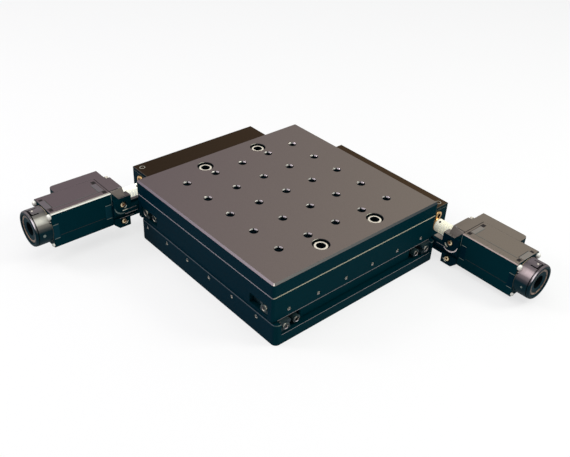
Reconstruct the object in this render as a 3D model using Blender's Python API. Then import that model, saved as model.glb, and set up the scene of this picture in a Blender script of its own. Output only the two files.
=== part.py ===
"""Motorised two-axis alignment stage on crossed-roller rails.

Metres, +Z up. The origin is the middle of the base's underside. The lower drive
moves the middle block and the table along X, and the upper drive moves the table
along Y. The table is drawn where the photograph shows it, REST_X off centre.
"""
import math

import bmesh
import bpy
from mathutils import Matrix, Vector

MM = 0.001
GAP = 0.3 * MM

# Body of the stage
SIDE = 152.4 * MM
CORNER = 3.5 * MM
TRAVEL = 5.0 * MM
REST_X = -3.4 * MM
FLOOR = 7.9 * MM
WALL = 4.8 * MM
PLATE_THICK = 10.5 * MM
DECK_THICK = 8.8 * MM
FRAME_LIFT = 0.8 * MM
EDGE = 1.2 * MM

# Crossed-roller rails and their cages
RAIL_H = 8.0 * MM
RAIL_W = 8.2 * MM
RAIL_INSET = 1.2 * MM
RAIL_INNER_SHORT = 3.0 * MM
RAIL_SPLIT = 1.6 * MM
RAIL_EDGE = 0.5 * MM
ROLLER_D = 3.0 * MM
ROLLER_LEN = 2.8 * MM
ROLLER_PITCH = 14.0 * MM
ROLLERS = 9
ROLLER_ROOM = 0.35 * MM
CAGE_THICK = 0.6 * MM
CAGE_H = 5.6 * MM
RAIL_LEVEL_STEP = 11.1 * MM
SET_DROP = 1.3 * MM

# Holes
GRID = 25.0 * MM
GRID_N = 5
TAP_R = 2.95 * MM
BOLT_X = 62.5 * MM
BOLT_Y = 25.0 * MM
BOLT_D = 6.0 * MM
HEAD_D = 10.0 * MM
HEAD_H = 6.0 * MM
HEAD_SINK = 1.6 * MM
BOLT_LEN = 10.0 * MM
BOLT_CLEAR = 0.35 * MM
HEX_D = 5.0 * MM
HEX_DEEP = 3.0 * MM
SET_N = 6
SET_R = 1.5 * MM
SET_SHIFT_X = -5.5 * MM
BASE_TAP_X = 50.0 * MM
BASE_TAP_Y = 25.0 * MM

# Drives
AXIS_OUT = 91.5 * MM
AXIS_UP_X = 5.6 * MM
AXIS_UP_Y = 4.6 * MM
BOX_OUT = 12.6 * MM
BOX_IN = 9.6 * MM
BOX_TOP = 13.0 * MM
BOX_BOTTOM = 10.9 * MM
BOX_END = 62.0 * MM
BOX_FAR = 51.5 * MM
BOX_WALL = 3.0 * MM
BOX_THIN = 2.2 * MM
BOX_NOSE = 9.0 * MM
COVER = 2.0 * MM
SLOT_ROOM = 1.5 * MM
LEDGE_FROM = -35.0 * MM
LEDGE_TO = 30.0 * MM
SCREW_D = 6.0 * MM
JOURNAL_D = 5.0 * MM
THREAD_DEEP = 0.35 * MM
THREAD_PITCH_DRAWN = 12.0 * MM
NUT_D = 13.0 * MM
NUT_LEN = 20.0 * MM
NUT_AT = -4.0 * MM
ARM_W = 12.0 * MM
ARM_T = 5.0 * MM
ARM_LOW = -0.5 * MM
MIDDLE_SHORT = 0.8 * MM
BEARING_D = 13.0 * MM
BEARING_W = 5.0 * MM
LOCKNUT_D = 10.0 * MM
LOCKNUT_W = 2.4 * MM
COUPLING_D = 10.0 * MM
COUPLING_FROM = 65.2 * MM
COUPLING_LEN = 18.0 * MM
SLIT_W = 0.7 * MM
SLITS = 5
RUN = 0.4 * MM

# Motor and its bracket
MOTOR_W = 25.0 * MM
MOTOR_H = 28.0 * MM
COUPLING_ROOM = 1.4 * MM
FLANGE_LEN = 3.6 * MM
SHOULDER_LEN = 7.0 * MM
MOTOR_LEN = 45.8 * MM
FLANGE_NEAR = 9.0 * MM
FLANGE_FAR = 7.3 * MM
CAP_D = 26.4 * MM
CAP_LEN = 12.0 * MM
CAP_BORE = 13.0 * MM
CAP_DEEP = 6.0 * MM
CONNECTOR_OUT = 8.2 * MM
CONNECTOR_LEN = 38.0 * MM
CONNECTOR_H = 20.0 * MM
BRACKET_IN = 78.0 * MM
BRACKET_T = 3.2 * MM
BRACKET_ARM = 6.4 * MM
CHEEK_AHEAD = 3.7 * MM
CHEEK_LEN = 10.0 * MM
CHEEK_TOP = 8.0 * MM
ARM_TOP = -1.0 * MM
HEEL_DROP = 3.4 * MM
BOSS_R = 7.4 * MM
BOSS_PROUD = 1.0 * MM
TONGUE_FROM = 72.0 * MM
GROOVE_FROM = 76.0 * MM
GROOVE_LOW = -8.9 * MM
GROOVE_HIGH = -6.3 * MM
GROOVE_DEEP = 1.2 * MM
CHEEK_SCREW_IN = 6.5 * MM
CHEEK_SCREW_UP = 2.2 * MM
CHEEK_SCREW_EDGE = 2.2 * MM
CHEEK_SCREW_D = 3.0 * MM
CHEEK_HEAD_D = 4.6 * MM
CHEEK_HEAD_H = 2.6 * MM

# Levels that follow from the sizes above
HALF = SIDE / 2
RAIL_LEN = SIDE - 2 * RAIL_INSET
RAIL_LEN_INNER = RAIL_LEN - 2 * RAIL_INNER_SHORT
LOW_RAIL_Z = FLOOR + GAP + RAIL_H / 2
HIGH_RAIL_Z = LOW_RAIL_Z + RAIL_LEVEL_STEP
BASE_TOP = LOW_RAIL_Z + RAIL_H / 2
FRAME_BOTTOM = BASE_TOP + FRAME_LIFT
DECK_BOTTOM = HIGH_RAIL_Z + RAIL_H / 2 + GAP
FRAME_TOP = DECK_BOTTOM + DECK_THICK
PLATE_BOTTOM = FRAME_TOP + GAP
PLATE_TOP = PLATE_BOTTOM + PLATE_THICK
WALL_IN = HALF - WALL
RAIL_OUT = WALL_IN - GAP - RAIL_W / 2
RAIL_MID = RAIL_OUT - RAIL_W / 2 - RAIL_SPLIT / 2
RAIL_IN = RAIL_MID - RAIL_SPLIT / 2 - RAIL_W / 2
CORE = RAIL_IN - RAIL_W / 2 - GAP
SLAB_TOP = HIGH_RAIL_Z - RAIL_H / 2 - GAP
SLAB_LOW = FRAME_BOTTOM - GAP
UPPER_FROM = LOW_RAIL_Z + RAIL_H / 2 + GAP
X_AXIS_Z = LOW_RAIL_Z + AXIS_UP_X
Y_AXIS_Z = HIGH_RAIL_Z + AXIS_UP_Y
FLANGE_FROM = COUPLING_FROM + COUPLING_LEN + COUPLING_ROOM
SHOULDER_FROM = FLANGE_FROM + FLANGE_LEN
MOTOR_FROM = SHOULDER_FROM + SHOULDER_LEN
MOTOR_TO = MOTOR_FROM + MOTOR_LEN
CONNECTOR_TO = SHOULDER_FROM + CONNECTOR_LEN
CHEEK_FROM = FLANGE_FROM - CHEEK_AHEAD
CHEEK_TO = CHEEK_FROM + CHEEK_LEN
CHEEK_SCREW_U = CHEEK_FROM + CHEEK_SCREW_IN
CHEEK_SCREW_W = (CHEEK_SCREW_UP, CHEEK_SCREW_EDGE - MOTOR_H / 2)
HEEL = MOTOR_H / 2 + HEEL_DROP
ANODISED = ((0.028, 0.030, 0.033), 0.42, 0.35)


def clear_scene():
    for obj in list(bpy.data.objects):
        bpy.data.objects.remove(obj, do_unlink=True)


def material(name, colour, roughness, metallic):
    mat = bpy.data.materials.get(name)
    if mat:
        return mat
    mat = bpy.data.materials.new(name)
    mat.use_nodes = True
    shader = mat.node_tree.nodes["Principled BSDF"]
    shader.inputs["Base Color"].default_value = (*colour, 1.0)
    shader.inputs["Roughness"].default_value = roughness
    shader.inputs["Metallic"].default_value = metallic
    return mat


def black():
    return material("black_anodised", *ANODISED)


def brown():
    return material("brown_anodised", (0.05, 0.036, 0.030), 0.45, 0.3)


def moulded():
    return material("moulded_black", (0.03, 0.03, 0.032), 0.5, 0.0)


def steel():
    return material("steel", (0.55, 0.55, 0.56), 0.3, 1.0)


def dark_steel():
    return material("dark_steel", (0.10, 0.10, 0.105), 0.35, 0.9)


def brass():
    return material("brass", (0.62, 0.42, 0.20), 0.3, 1.0)


def ivory():
    return material("ivory_plastic", (0.85, 0.83, 0.74), 0.45, 0.0)


def finish(name, bm, mat, smooth=False, parent=None, place=None):
    """Turns a bmesh into a named object with outward faces."""
    bmesh.ops.remove_doubles(bm, verts=bm.verts, dist=1e-6)
    bmesh.ops.recalc_face_normals(bm, faces=bm.faces)
    mesh = bpy.data.meshes.new(name)
    bm.to_mesh(mesh)
    bm.free()
    if smooth:
        for poly in mesh.polygons:
            poly.use_smooth = True
        mesh.set_sharp_from_angle(angle=math.radians(32))
    obj = bpy.data.objects.new(name, mesh)
    obj.data.materials.append(mat)
    bpy.context.scene.collection.objects.link(obj)
    if parent:
        obj.parent = parent
    if place:
        obj.matrix_local = place
    return obj


def add_block(bm, x, y, z):
    """Box between the pairs x, y and z; returns its vertices."""
    made = bmesh.ops.create_cube(bm, size=1.0)["verts"]
    for v in made:
        v.co = Vector((x[0] + (v.co.x + 0.5) * (x[1] - x[0]),
                       y[0] + (v.co.y + 0.5) * (y[1] - y[0]),
                       z[0] + (v.co.z + 0.5) * (z[1] - z[0])))
    return made


def along(axis):
    """Rotation that lays local Z along the named axis."""
    if axis == "X":
        return Matrix.Rotation(math.radians(90), 4, "Y")
    if axis == "Y":
        return Matrix.Rotation(math.radians(-90), 4, "X")
    return Matrix.Identity(4)


def add_cylinder(bm, start, axis, radius, length, segments=24, radius_far=None):
    """Cylinder or cone from start, along axis for length."""
    far = radius if radius_far is None else radius_far
    turn = along(axis)
    middle = Vector(start) + turn @ Vector((0, 0, length / 2))
    made = bmesh.ops.create_cone(bm, cap_ends=True, segments=segments, radius1=radius,
                                 radius2=far, depth=abs(length),
                                 matrix=Matrix.Translation(middle) @ turn)
    return made["verts"]


def add_prism(bm, outline, axis, start, end):
    """Extrudes an outline of pairs along an axis, between start and end."""
    def place(a, b, c):
        if axis == "X":
            return Vector((c, a, b))
        if axis == "Y":
            return Vector((a, c, b))
        return Vector((a, b, c))

    verts = [bm.verts.new(place(a, b, start)) for a, b in outline]
    face = bm.faces.new(verts)
    grown = bmesh.ops.extrude_face_region(bm, geom=[face])
    moved = [item for item in grown["geom"] if isinstance(item, bmesh.types.BMVert)]
    bmesh.ops.translate(bm, verts=moved, vec=place(0, 0, end) - place(0, 0, start))
    return verts + moved


def bevel_edges(bm, test, offset, segments=1):
    """Bevels each edge whose two ends pass the test."""
    bm.edges.ensure_lookup_table()
    chosen = [e for e in bm.edges if test(e.verts[0].co, e.verts[1].co)]
    bmesh.ops.bevel(bm, geom=chosen, offset=offset, segments=segments, affect="EDGES",
                    profile=0.5)


def near(a, b):
    return abs(a - b) < 1e-6


def chamfer_rim(bm, height, offset):
    """Chamfers the outer rim that lies at one height."""
    bm.edges.ensure_lookup_table()
    rim = []
    for edge in bm.edges:
        level = near(edge.verts[0].co.z, height) and near(edge.verts[1].co.z, height)
        upright = [f for f in edge.link_faces if abs(f.normal.z) < 0.5]
        if level and len(upright) == 1:
            rim.append(edge)
    bmesh.ops.bevel(bm, geom=rim, offset=offset, segments=1, affect="EDGES", profile=0.5)


def boolean(obj, bm, name, operation="DIFFERENCE"):
    """Cuts or joins obj with the solids in bm, which stay as a hidden tool."""
    bmesh.ops.recalc_face_normals(bm, faces=bm.faces)
    mesh = bpy.data.meshes.new(name)
    bm.to_mesh(mesh)
    bm.free()
    tool = bpy.data.objects.new(name, mesh)
    bpy.context.scene.collection.objects.link(tool)
    tool.parent = obj
    tool.hide_render = True
    tool.display_type = "WIRE"
    step = obj.modifiers.new(name, "BOOLEAN")
    step.operation = operation
    step.solver = "EXACT"
    step.object = tool
    return step


def spaced(count, pitch):
    """Positions of count points at a pitch, about zero."""
    return [(i - (count - 1) / 2) * pitch for i in range(count)]


def square_block(bm, half_x, half_y, z, corner, segments=4):
    """Plate with rounded upright corners."""
    add_block(bm, (-half_x, half_x), (-half_y, half_y), z)
    bevel_edges(bm, lambda a, b: abs(a.z - b.z) > 1e-6, corner, segments)


def build_base():
    """Base: a floor between two walls, with a ledge under the lower drive."""
    bm = bmesh.new()
    outline = [(-HALF, 0), (HALF, 0), (HALF, BASE_TOP), (WALL_IN, BASE_TOP), (WALL_IN, FLOOR),
               (-WALL_IN, FLOOR), (-WALL_IN, BASE_TOP), (-HALF, BASE_TOP)]
    add_prism(bm, outline, "X", -HALF, HALF)
    bevel_edges(bm, lambda a, b: near(abs(a.x), HALF) and near(abs(a.y), HALF)
                and near(a.x, b.x) and near(a.y, b.y), CORNER, 4)
    bm.normal_update()
    chamfer_rim(bm, BASE_TOP, 0.4 * MM)
    bevel_edges(bm, lambda a, b: near(a.z, FLOOR) and near(b.z, FLOOR) and near(a.x, b.x)
                and near(abs(a.x), HALF), 0.4 * MM)
    obj = finish("base_plate", bm, black())
    ledge = bmesh.new()
    add_block(ledge, (LEDGE_FROM, LEDGE_TO), (HALF - 2 * MM, AXIS_OUT + BOX_OUT - 2 * MM),
              (0, X_AXIS_Z - BOX_BOTTOM - GAP))
    boolean(obj, ledge, "base_ledge_tool", "UNION")
    holes = bmesh.new()
    for x in spaced(SET_N, GRID):
        add_cylinder(holes, (x + SET_SHIFT_X, -HALF - MM, LOW_RAIL_Z), "Y", SET_R, WALL + 2 * MM, 10)
        add_cylinder(holes, (x, WALL_IN - MM, LOW_RAIL_Z), "Y", SET_R, WALL + 2 * MM, 10)
    for x in (-BASE_TAP_X, BASE_TAP_X):
        for y in (-BASE_TAP_Y, BASE_TAP_Y):
            add_cylinder(holes, (x, y, -MM), "Z", TAP_R, FLOOR + 2 * MM, 12)
    boolean(obj, holes, "base_holes_tool")
    return obj


def build_middle(parent):
    """Middle block: a lower slab along X, an upper slab along Y, and the left ledge."""
    low = FLOOR + 0.9 * MM
    bm = bmesh.new()
    end = HALF - MIDDLE_SHORT
    add_block(bm, (-end, end), (-CORE, CORE), (low, SLAB_LOW))
    bevel_edges(bm, lambda a, b: near(a.x, b.x) and near(a.y, b.y), 0.8 * MM)
    obj = finish("middle_block", bm, black(), parent=parent)
    upper = bmesh.new()
    add_block(upper, (-CORE, CORE), (-end, end),
              (UPPER_FROM, DECK_BOTTOM - 0.6 * MM))
    boolean(obj, upper, "middle_upper_tool", "UNION")
    seat = bmesh.new()
    add_block(seat, (-WALL_IN + GAP, WALL_IN - GAP), (-end, end),
              (UPPER_FROM, SLAB_TOP))
    boolean(obj, seat, "middle_seat_tool", "UNION")
    ledge = bmesh.new()
    add_block(ledge, (-(AXIS_OUT + BOX_OUT - 2 * MM), -end + 4 * MM),
              (LEDGE_FROM, LEDGE_TO), (low + 1.2 * MM, Y_AXIS_Z - BOX_BOTTOM - GAP))
    boolean(obj, ledge, "middle_ledge_tool", "UNION")
    return obj


def build_frame(parent):
    """Table frame: a deck with a wall down each X side that holds the outer Y rails."""
    bm = bmesh.new()
    outline = [(-HALF, FRAME_BOTTOM), (-WALL_IN, FRAME_BOTTOM), (-WALL_IN, DECK_BOTTOM),
               (WALL_IN, DECK_BOTTOM), (WALL_IN, FRAME_BOTTOM), (HALF, FRAME_BOTTOM),
               (HALF, FRAME_TOP), (-HALF, FRAME_TOP)]
    add_prism(bm, outline, "Y", -HALF, HALF)
    bevel_edges(bm, lambda a, b: near(abs(a.x), HALF) and near(abs(a.y), HALF)
                and near(a.x, b.x) and near(a.y, b.y), 1.7 * MM, 2)
    bm.normal_update()
    chamfer_rim(bm, FRAME_TOP, 0.5 * MM)
    bm.normal_update()
    chamfer_rim(bm, FRAME_BOTTOM, 0.3 * MM)
    obj = finish("table_frame", bm, black(), parent=parent)
    holes = bmesh.new()
    for y in spaced(SET_N, GRID):
        add_cylinder(holes, (WALL_IN - MM, y, HIGH_RAIL_Z - SET_DROP), "X", SET_R, WALL + 2 * MM, 10)
        add_cylinder(holes, (-HALF - MM, y, HIGH_RAIL_Z - SET_DROP), "X", SET_R, WALL + 2 * MM, 10)
    for x, y in bolt_places():
        add_cylinder(holes, (x, y, bolt_foot() - GAP), "Z", BOLT_D / 2 + BOLT_CLEAR,
                     FRAME_TOP - bolt_foot() + 2 * MM, 16)
    boolean(obj, holes, "frame_holes_tool")
    return obj


def bolt_places():
    return [(x, y) for x in (-BOLT_X, BOLT_X) for y in (-BOLT_Y, BOLT_Y)]


def bolt_foot():
    """Height of the lower end of a table bolt."""
    return PLATE_TOP - HEAD_SINK - HEAD_H - BOLT_LEN


def build_plate(parent):
    """Top plate with the grid of tapped holes and four counterbored bolt holes."""
    bm = bmesh.new()
    square_block(bm, HALF, HALF, (PLATE_BOTTOM, PLATE_TOP), 1.7 * MM, 3)
    bm.normal_update()
    chamfer_rim(bm, PLATE_TOP, EDGE)
    obj = finish("top_plate", bm, black(), parent=parent)
    holes = bmesh.new()
    for x in spaced(GRID_N, GRID):
        for y in spaced(GRID_N, GRID):
            add_cylinder(holes, (x, y, PLATE_BOTTOM - MM), "Z", TAP_R, PLATE_THICK + 2 * MM, 12)
    for x, y in bolt_places():
        add_cylinder(holes, (x, y, PLATE_TOP - HEAD_SINK - HEAD_H - GAP), "Z",
                     HEAD_D / 2 + BOLT_CLEAR, HEAD_SINK + HEAD_H + 2 * MM, 20)
    boolean(obj, holes, "plate_holes_tool")
    shanks = bmesh.new()
    for x, y in bolt_places():
        add_cylinder(shanks, (x, y, PLATE_BOTTOM - MM), "Z", BOLT_D / 2 + BOLT_CLEAR,
                     PLATE_THICK, 16)
    boolean(obj, shanks, "plate_shank_tool")
    return obj


def socket_screw(name, head_d, head_h, shank_d, length, hex_d, hex_deep, mat, parent, place):
    """Socket-head cap screw: head up along +Z from its seat at zero, shank below."""
    bm = bmesh.new()
    profile = [(0, -length), (shank_d / 2 - 0.4 * MM, -length), (shank_d / 2, -length + 0.4 * MM),
               (shank_d / 2, 0), (head_d / 2, 0), (head_d / 2, head_h - 0.4 * MM),
               (head_d / 2 - 0.4 * MM, head_h), (0, head_h)]
    revolve(bm, profile, 14)
    obj = finish(name, bm, mat, True, parent, place)
    socket = bmesh.new()
    add_cylinder(socket, (0, 0, head_h - hex_deep), "Z", hex_d / math.sqrt(3), hex_deep + MM, 6)
    boolean(obj, socket, name + "_socket_tool")
    return obj


def revolve(bm, profile, steps):
    """Spins a profile of (radius, height) pairs about local Z."""
    verts = [bm.verts.new((r, 0, z)) for r, z in profile]
    edges = [bm.edges.new(pair) for pair in zip(verts, verts[1:])]
    bmesh.ops.spin(bm, geom=verts + edges, cent=(0, 0, 0), axis=(0, 0, 1),
                   angle=2 * math.pi, steps=steps, use_merge=True)
    bmesh.ops.remove_doubles(bm, verts=bm.verts, dist=1e-6)


def build_table_screws(parent):
    for i, (x, y) in enumerate(bolt_places(), start=1):
        seat = Matrix.Translation((x, y, PLATE_TOP - HEAD_SINK - HEAD_H))
        socket_screw(f"table_screw_{i}", HEAD_D, HEAD_H, BOLT_D, BOLT_LEN, HEX_D, HEX_DEEP,
                     dark_steel(), parent, seat)


def rail_outline(facing):
    """Rail section (across, up) with its V groove on the side it faces, +1 or -1."""
    back = -RAIL_W / 2
    front = RAIL_W / 2
    side = ROLLER_D + 2 * ROLLER_ROOM
    half = side / math.sqrt(2) - RAIL_SPLIT / 2
    top = RAIL_H / 2
    e = RAIL_EDGE
    points = [(back + e, -top), (front - e, -top), (front, -top + e), (front, -half), (front - half, 0),
              (front, half), (front, top - e), (front - e, top), (back + e, top), (back, top - e),
              (back, -top + e)]
    return [(facing * a, b) for a, b in points]


def build_rail(name, axis, across, z, length, facing, parent):
    """One rail along an axis, across its middle line."""
    bm = bmesh.new()
    add_prism(bm, rail_outline(facing), axis, -length / 2, length / 2)
    shift = Vector((0, across, z)) if axis == "X" else Vector((across, 0, z))
    bmesh.ops.translate(bm, verts=bm.verts, vec=shift)
    return finish(name, bm, steel(), parent=parent)


def build_cage(name, axis, parent, place):
    """Roller cage: a flat strip with rollers set crosswise by turns."""
    bm = bmesh.new()
    length = (ROLLERS - 1) * ROLLER_PITCH + 8 * MM
    half = CAGE_THICK / 2
    add_block(bm, (-length / 2, length / 2), (-half, half), (-CAGE_H / 2, CAGE_H / 2))
    if axis == "Y":
        bmesh.ops.rotate(bm, verts=bm.verts, matrix=Matrix.Rotation(math.radians(90), 3, "Z"))
    obj = finish(name, bm, brass(), parent=parent, place=Matrix.Translation(place))
    rollers = bmesh.new()
    for i, x in enumerate(spaced(ROLLERS, ROLLER_PITCH)):
        lean = math.radians(45 if i % 2 else -45)
        turn = Matrix.Translation((x, 0, 0)) @ Matrix.Rotation(lean, 4, "X")
        if axis == "Y":
            turn = Matrix.Rotation(math.radians(90), 4, "Z") @ turn
        bmesh.ops.create_cone(rollers, cap_ends=True, segments=8, radius1=ROLLER_D / 2,
                              radius2=ROLLER_D / 2, depth=ROLLER_LEN, matrix=turn)
    boolean(obj, rollers, name + "_roller_tool", "UNION")
    return obj


def build_rails(base, middle, table):
    """Four rails and two cages for each axis."""
    for sign, word in ((-1, "front"), (1, "back")):
        build_rail(f"x_rail_outer_{word}", "X", sign * RAIL_OUT, LOW_RAIL_Z, RAIL_LEN, -sign, base)
        build_rail(f"x_rail_inner_{word}", "X", sign * RAIL_IN, LOW_RAIL_Z, RAIL_LEN_INNER, sign,
                   middle)
        build_cage(f"x_cage_{word}", "X", base, (REST_X / 2, sign * RAIL_MID, LOW_RAIL_Z))
    for sign, word in ((-1, "left"), (1, "right")):
        build_rail(f"y_rail_outer_{word}", "Y", sign * RAIL_OUT, HIGH_RAIL_Z, RAIL_LEN, -sign, table)
        build_rail(f"y_rail_inner_{word}", "Y", sign * RAIL_IN, HIGH_RAIL_Z, RAIL_LEN_INNER, sign,
                   middle)
        build_cage(f"y_cage_{word}", "Y", middle, (sign * RAIL_MID, 0, HIGH_RAIL_Z))


def build_housing(tag, drive):
    """Drive housing: an open trough with a bearing nose at the motor end and a nut slot."""
    bm = bmesh.new()
    add_block(bm, (-BOX_FAR, BOX_END), (-BOX_IN, BOX_OUT), (-BOX_BOTTOM, BOX_TOP - COVER - GAP))
    obj = finish(f"{tag}_housing", bm, brown(), parent=drive)
    hollow = bmesh.new()
    add_block(hollow, (-BOX_FAR + 2 * BOX_WALL, BOX_END - BOX_NOSE),
              (-BOX_IN + BOX_THIN, BOX_OUT - BOX_WALL), (-BOX_BOTTOM + BOX_WALL, BOX_TOP))
    boolean(obj, hollow, f"{tag}_housing_hollow_tool")
    bores = bmesh.new()
    add_cylinder(bores, (BOX_END - BEARING_W - GAP, 0, 0), "X", BEARING_D / 2 + GAP,
                 BEARING_W + 2 * MM, 28)
    boolean(obj, bores, f"{tag}_housing_bearing_tool")
    shaft = bmesh.new()
    add_cylinder(shaft, (-BOX_FAR + BOX_WALL, 0, 0), "X", SCREW_D / 2 + RUN,
                 BOX_END + BOX_FAR, 24)
    boolean(obj, shaft, f"{tag}_housing_shaft_tool")
    slot = bmesh.new()
    reach = ARM_W / 2 + TRAVEL + 2 * MM
    add_block(slot, (NUT_AT - reach + REST_X, NUT_AT + reach - REST_X),
              (-BOX_IN - MM, -BOX_IN + BOX_THIN + MM),
              (ARM_LOW - SLOT_ROOM, ARM_LOW + ARM_T + SLOT_ROOM))
    boolean(obj, slot, f"{tag}_housing_slot_tool")
    return obj


def build_cover(tag, drive):
    """Flat cover over the drive housing."""
    bm = bmesh.new()
    add_block(bm, (-BOX_FAR, BOX_END), (-BOX_IN, BOX_OUT), (BOX_TOP - COVER, BOX_TOP))
    bevel_edges(bm, lambda a, b: near(a.z, BOX_TOP) and near(b.z, BOX_TOP), 0.4 * MM)
    return finish(f"{tag}_housing_cover", bm, brown(), parent=drive)


def build_screw(tag, spin):
    """Ball screw with a rolled groove, journals and the end that takes the coupling."""
    bm = bmesh.new()
    r = SCREW_D / 2
    j = JOURNAL_D / 2
    start = -BOX_FAR + BOX_WALL + 0.8 * MM
    profile = [(0, start), (j, start), (j, start + 4 * MM)]
    u = start + 4 * MM
    profile.append((r, u))
    while u < BOX_END - BOX_NOSE - THREAD_PITCH_DRAWN - 2 * MM:
        u += THREAD_PITCH_DRAWN / 2
        profile.append((r, u))
        profile.append((r - THREAD_DEEP, u + THREAD_PITCH_DRAWN / 4))
        u += THREAD_PITCH_DRAWN / 2
        profile.append((r, u))
    shoulder = BOX_END - BEARING_W - 1.2 * MM
    profile += [(r, shoulder), (j, shoulder), (j, COUPLING_FROM + COUPLING_LEN * 0.35),
                (0, COUPLING_FROM + COUPLING_LEN * 0.35)]
    revolve(bm, profile, 12)
    bmesh.ops.rotate(bm, verts=bm.verts, matrix=along("X").to_3x3())
    return finish(f"{tag}_ball_screw", bm, steel(), True, spin)


def ring(bm, outer, inner, length, start, segments=28, edge=0.3 * MM):
    """Ring along X from start."""
    profile = [(inner, 0), (outer - edge, 0), (outer, edge), (outer, length - edge),
               (outer - edge, length), (inner, length)]
    verts = [bm.verts.new((r, 0, z)) for r, z in profile]
    edges = [bm.edges.new((verts[i], verts[(i + 1) % len(verts)])) for i in range(len(verts))]
    bmesh.ops.spin(bm, geom=verts + edges, cent=(0, 0, 0), axis=(0, 0, 1),
                   angle=2 * math.pi, steps=segments, use_merge=True)
    bmesh.ops.remove_doubles(bm, verts=bm.verts, dist=1e-6)
    bmesh.ops.transform(bm, verts=bm.verts, matrix=Matrix.Translation((start, 0, 0)) @ along("X"))


def build_bearing(tag, drive):
    bm = bmesh.new()
    ring(bm, BEARING_D / 2, JOURNAL_D / 2 + GAP, BEARING_W, BOX_END - BEARING_W, 16)
    return finish(f"{tag}_bearing", bm, steel(), True, drive)


def build_locknut(tag, spin):
    bm = bmesh.new()
    ring(bm, LOCKNUT_D / 2, JOURNAL_D / 2 + GAP, LOCKNUT_W, BOX_END + GAP, 16, 0.4 * MM)
    return finish(f"{tag}_lock_nut", bm, brass(), True, spin)


def build_coupling(tag, spin):
    """Slit coupling: a bored plastic sleeve with cuts from alternate sides."""
    bm = bmesh.new()
    ring(bm, COUPLING_D / 2, JOURNAL_D / 2 + GAP, COUPLING_LEN, COUPLING_FROM, 18, 0.4 * MM)
    obj = finish(f"{tag}_coupling", bm, ivory(), True, spin)
    slits = bmesh.new()
    pitch = COUPLING_LEN * 0.5 / SLITS
    for i, u in enumerate(spaced(SLITS, pitch)):
        side = 1 if i % 2 else -1
        middle = COUPLING_FROM + COUPLING_LEN / 2 + u
        edge = side * COUPLING_D
        low = -side * COUPLING_D * 0.22
        add_block(slits, (middle - SLIT_W / 2, middle + SLIT_W / 2), (min(edge, low), max(edge, low)),
                  (-COUPLING_D, COUPLING_D))
    boolean(obj, slits, f"{tag}_coupling_slit_tool")
    return obj


def build_shaft(tag, spin):
    """Motor shaft between the coupling and the motor flange."""
    bm = bmesh.new()
    start = COUPLING_FROM + COUPLING_LEN * 0.62
    add_cylinder(bm, (start, 0, 0), "X", JOURNAL_D / 2, MOTOR_FROM + 4 * MM - start, 24)
    return finish(f"{tag}_motor_shaft", bm, steel(), True, spin)


def build_nut(tag, carried, reach):
    """Ball nut with its arm, which runs sideways through the housing slot."""
    bm = bmesh.new()
    ring(bm, NUT_D / 2, SCREW_D / 2 + RUN, NUT_LEN, NUT_AT - NUT_LEN / 2, 20, 0.5 * MM)
    nut = finish(f"{tag}_ball_nut", bm, steel(), True, carried)
    arm = bmesh.new()
    add_block(arm, (NUT_AT - ARM_W / 2, NUT_AT + ARM_W / 2), (-reach, -NUT_D / 2 + 0.6 * MM),
              (ARM_LOW, ARM_LOW + ARM_T))
    boolean(nut, arm, f"{tag}_nut_arm_tool", "UNION")
    return nut


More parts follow.
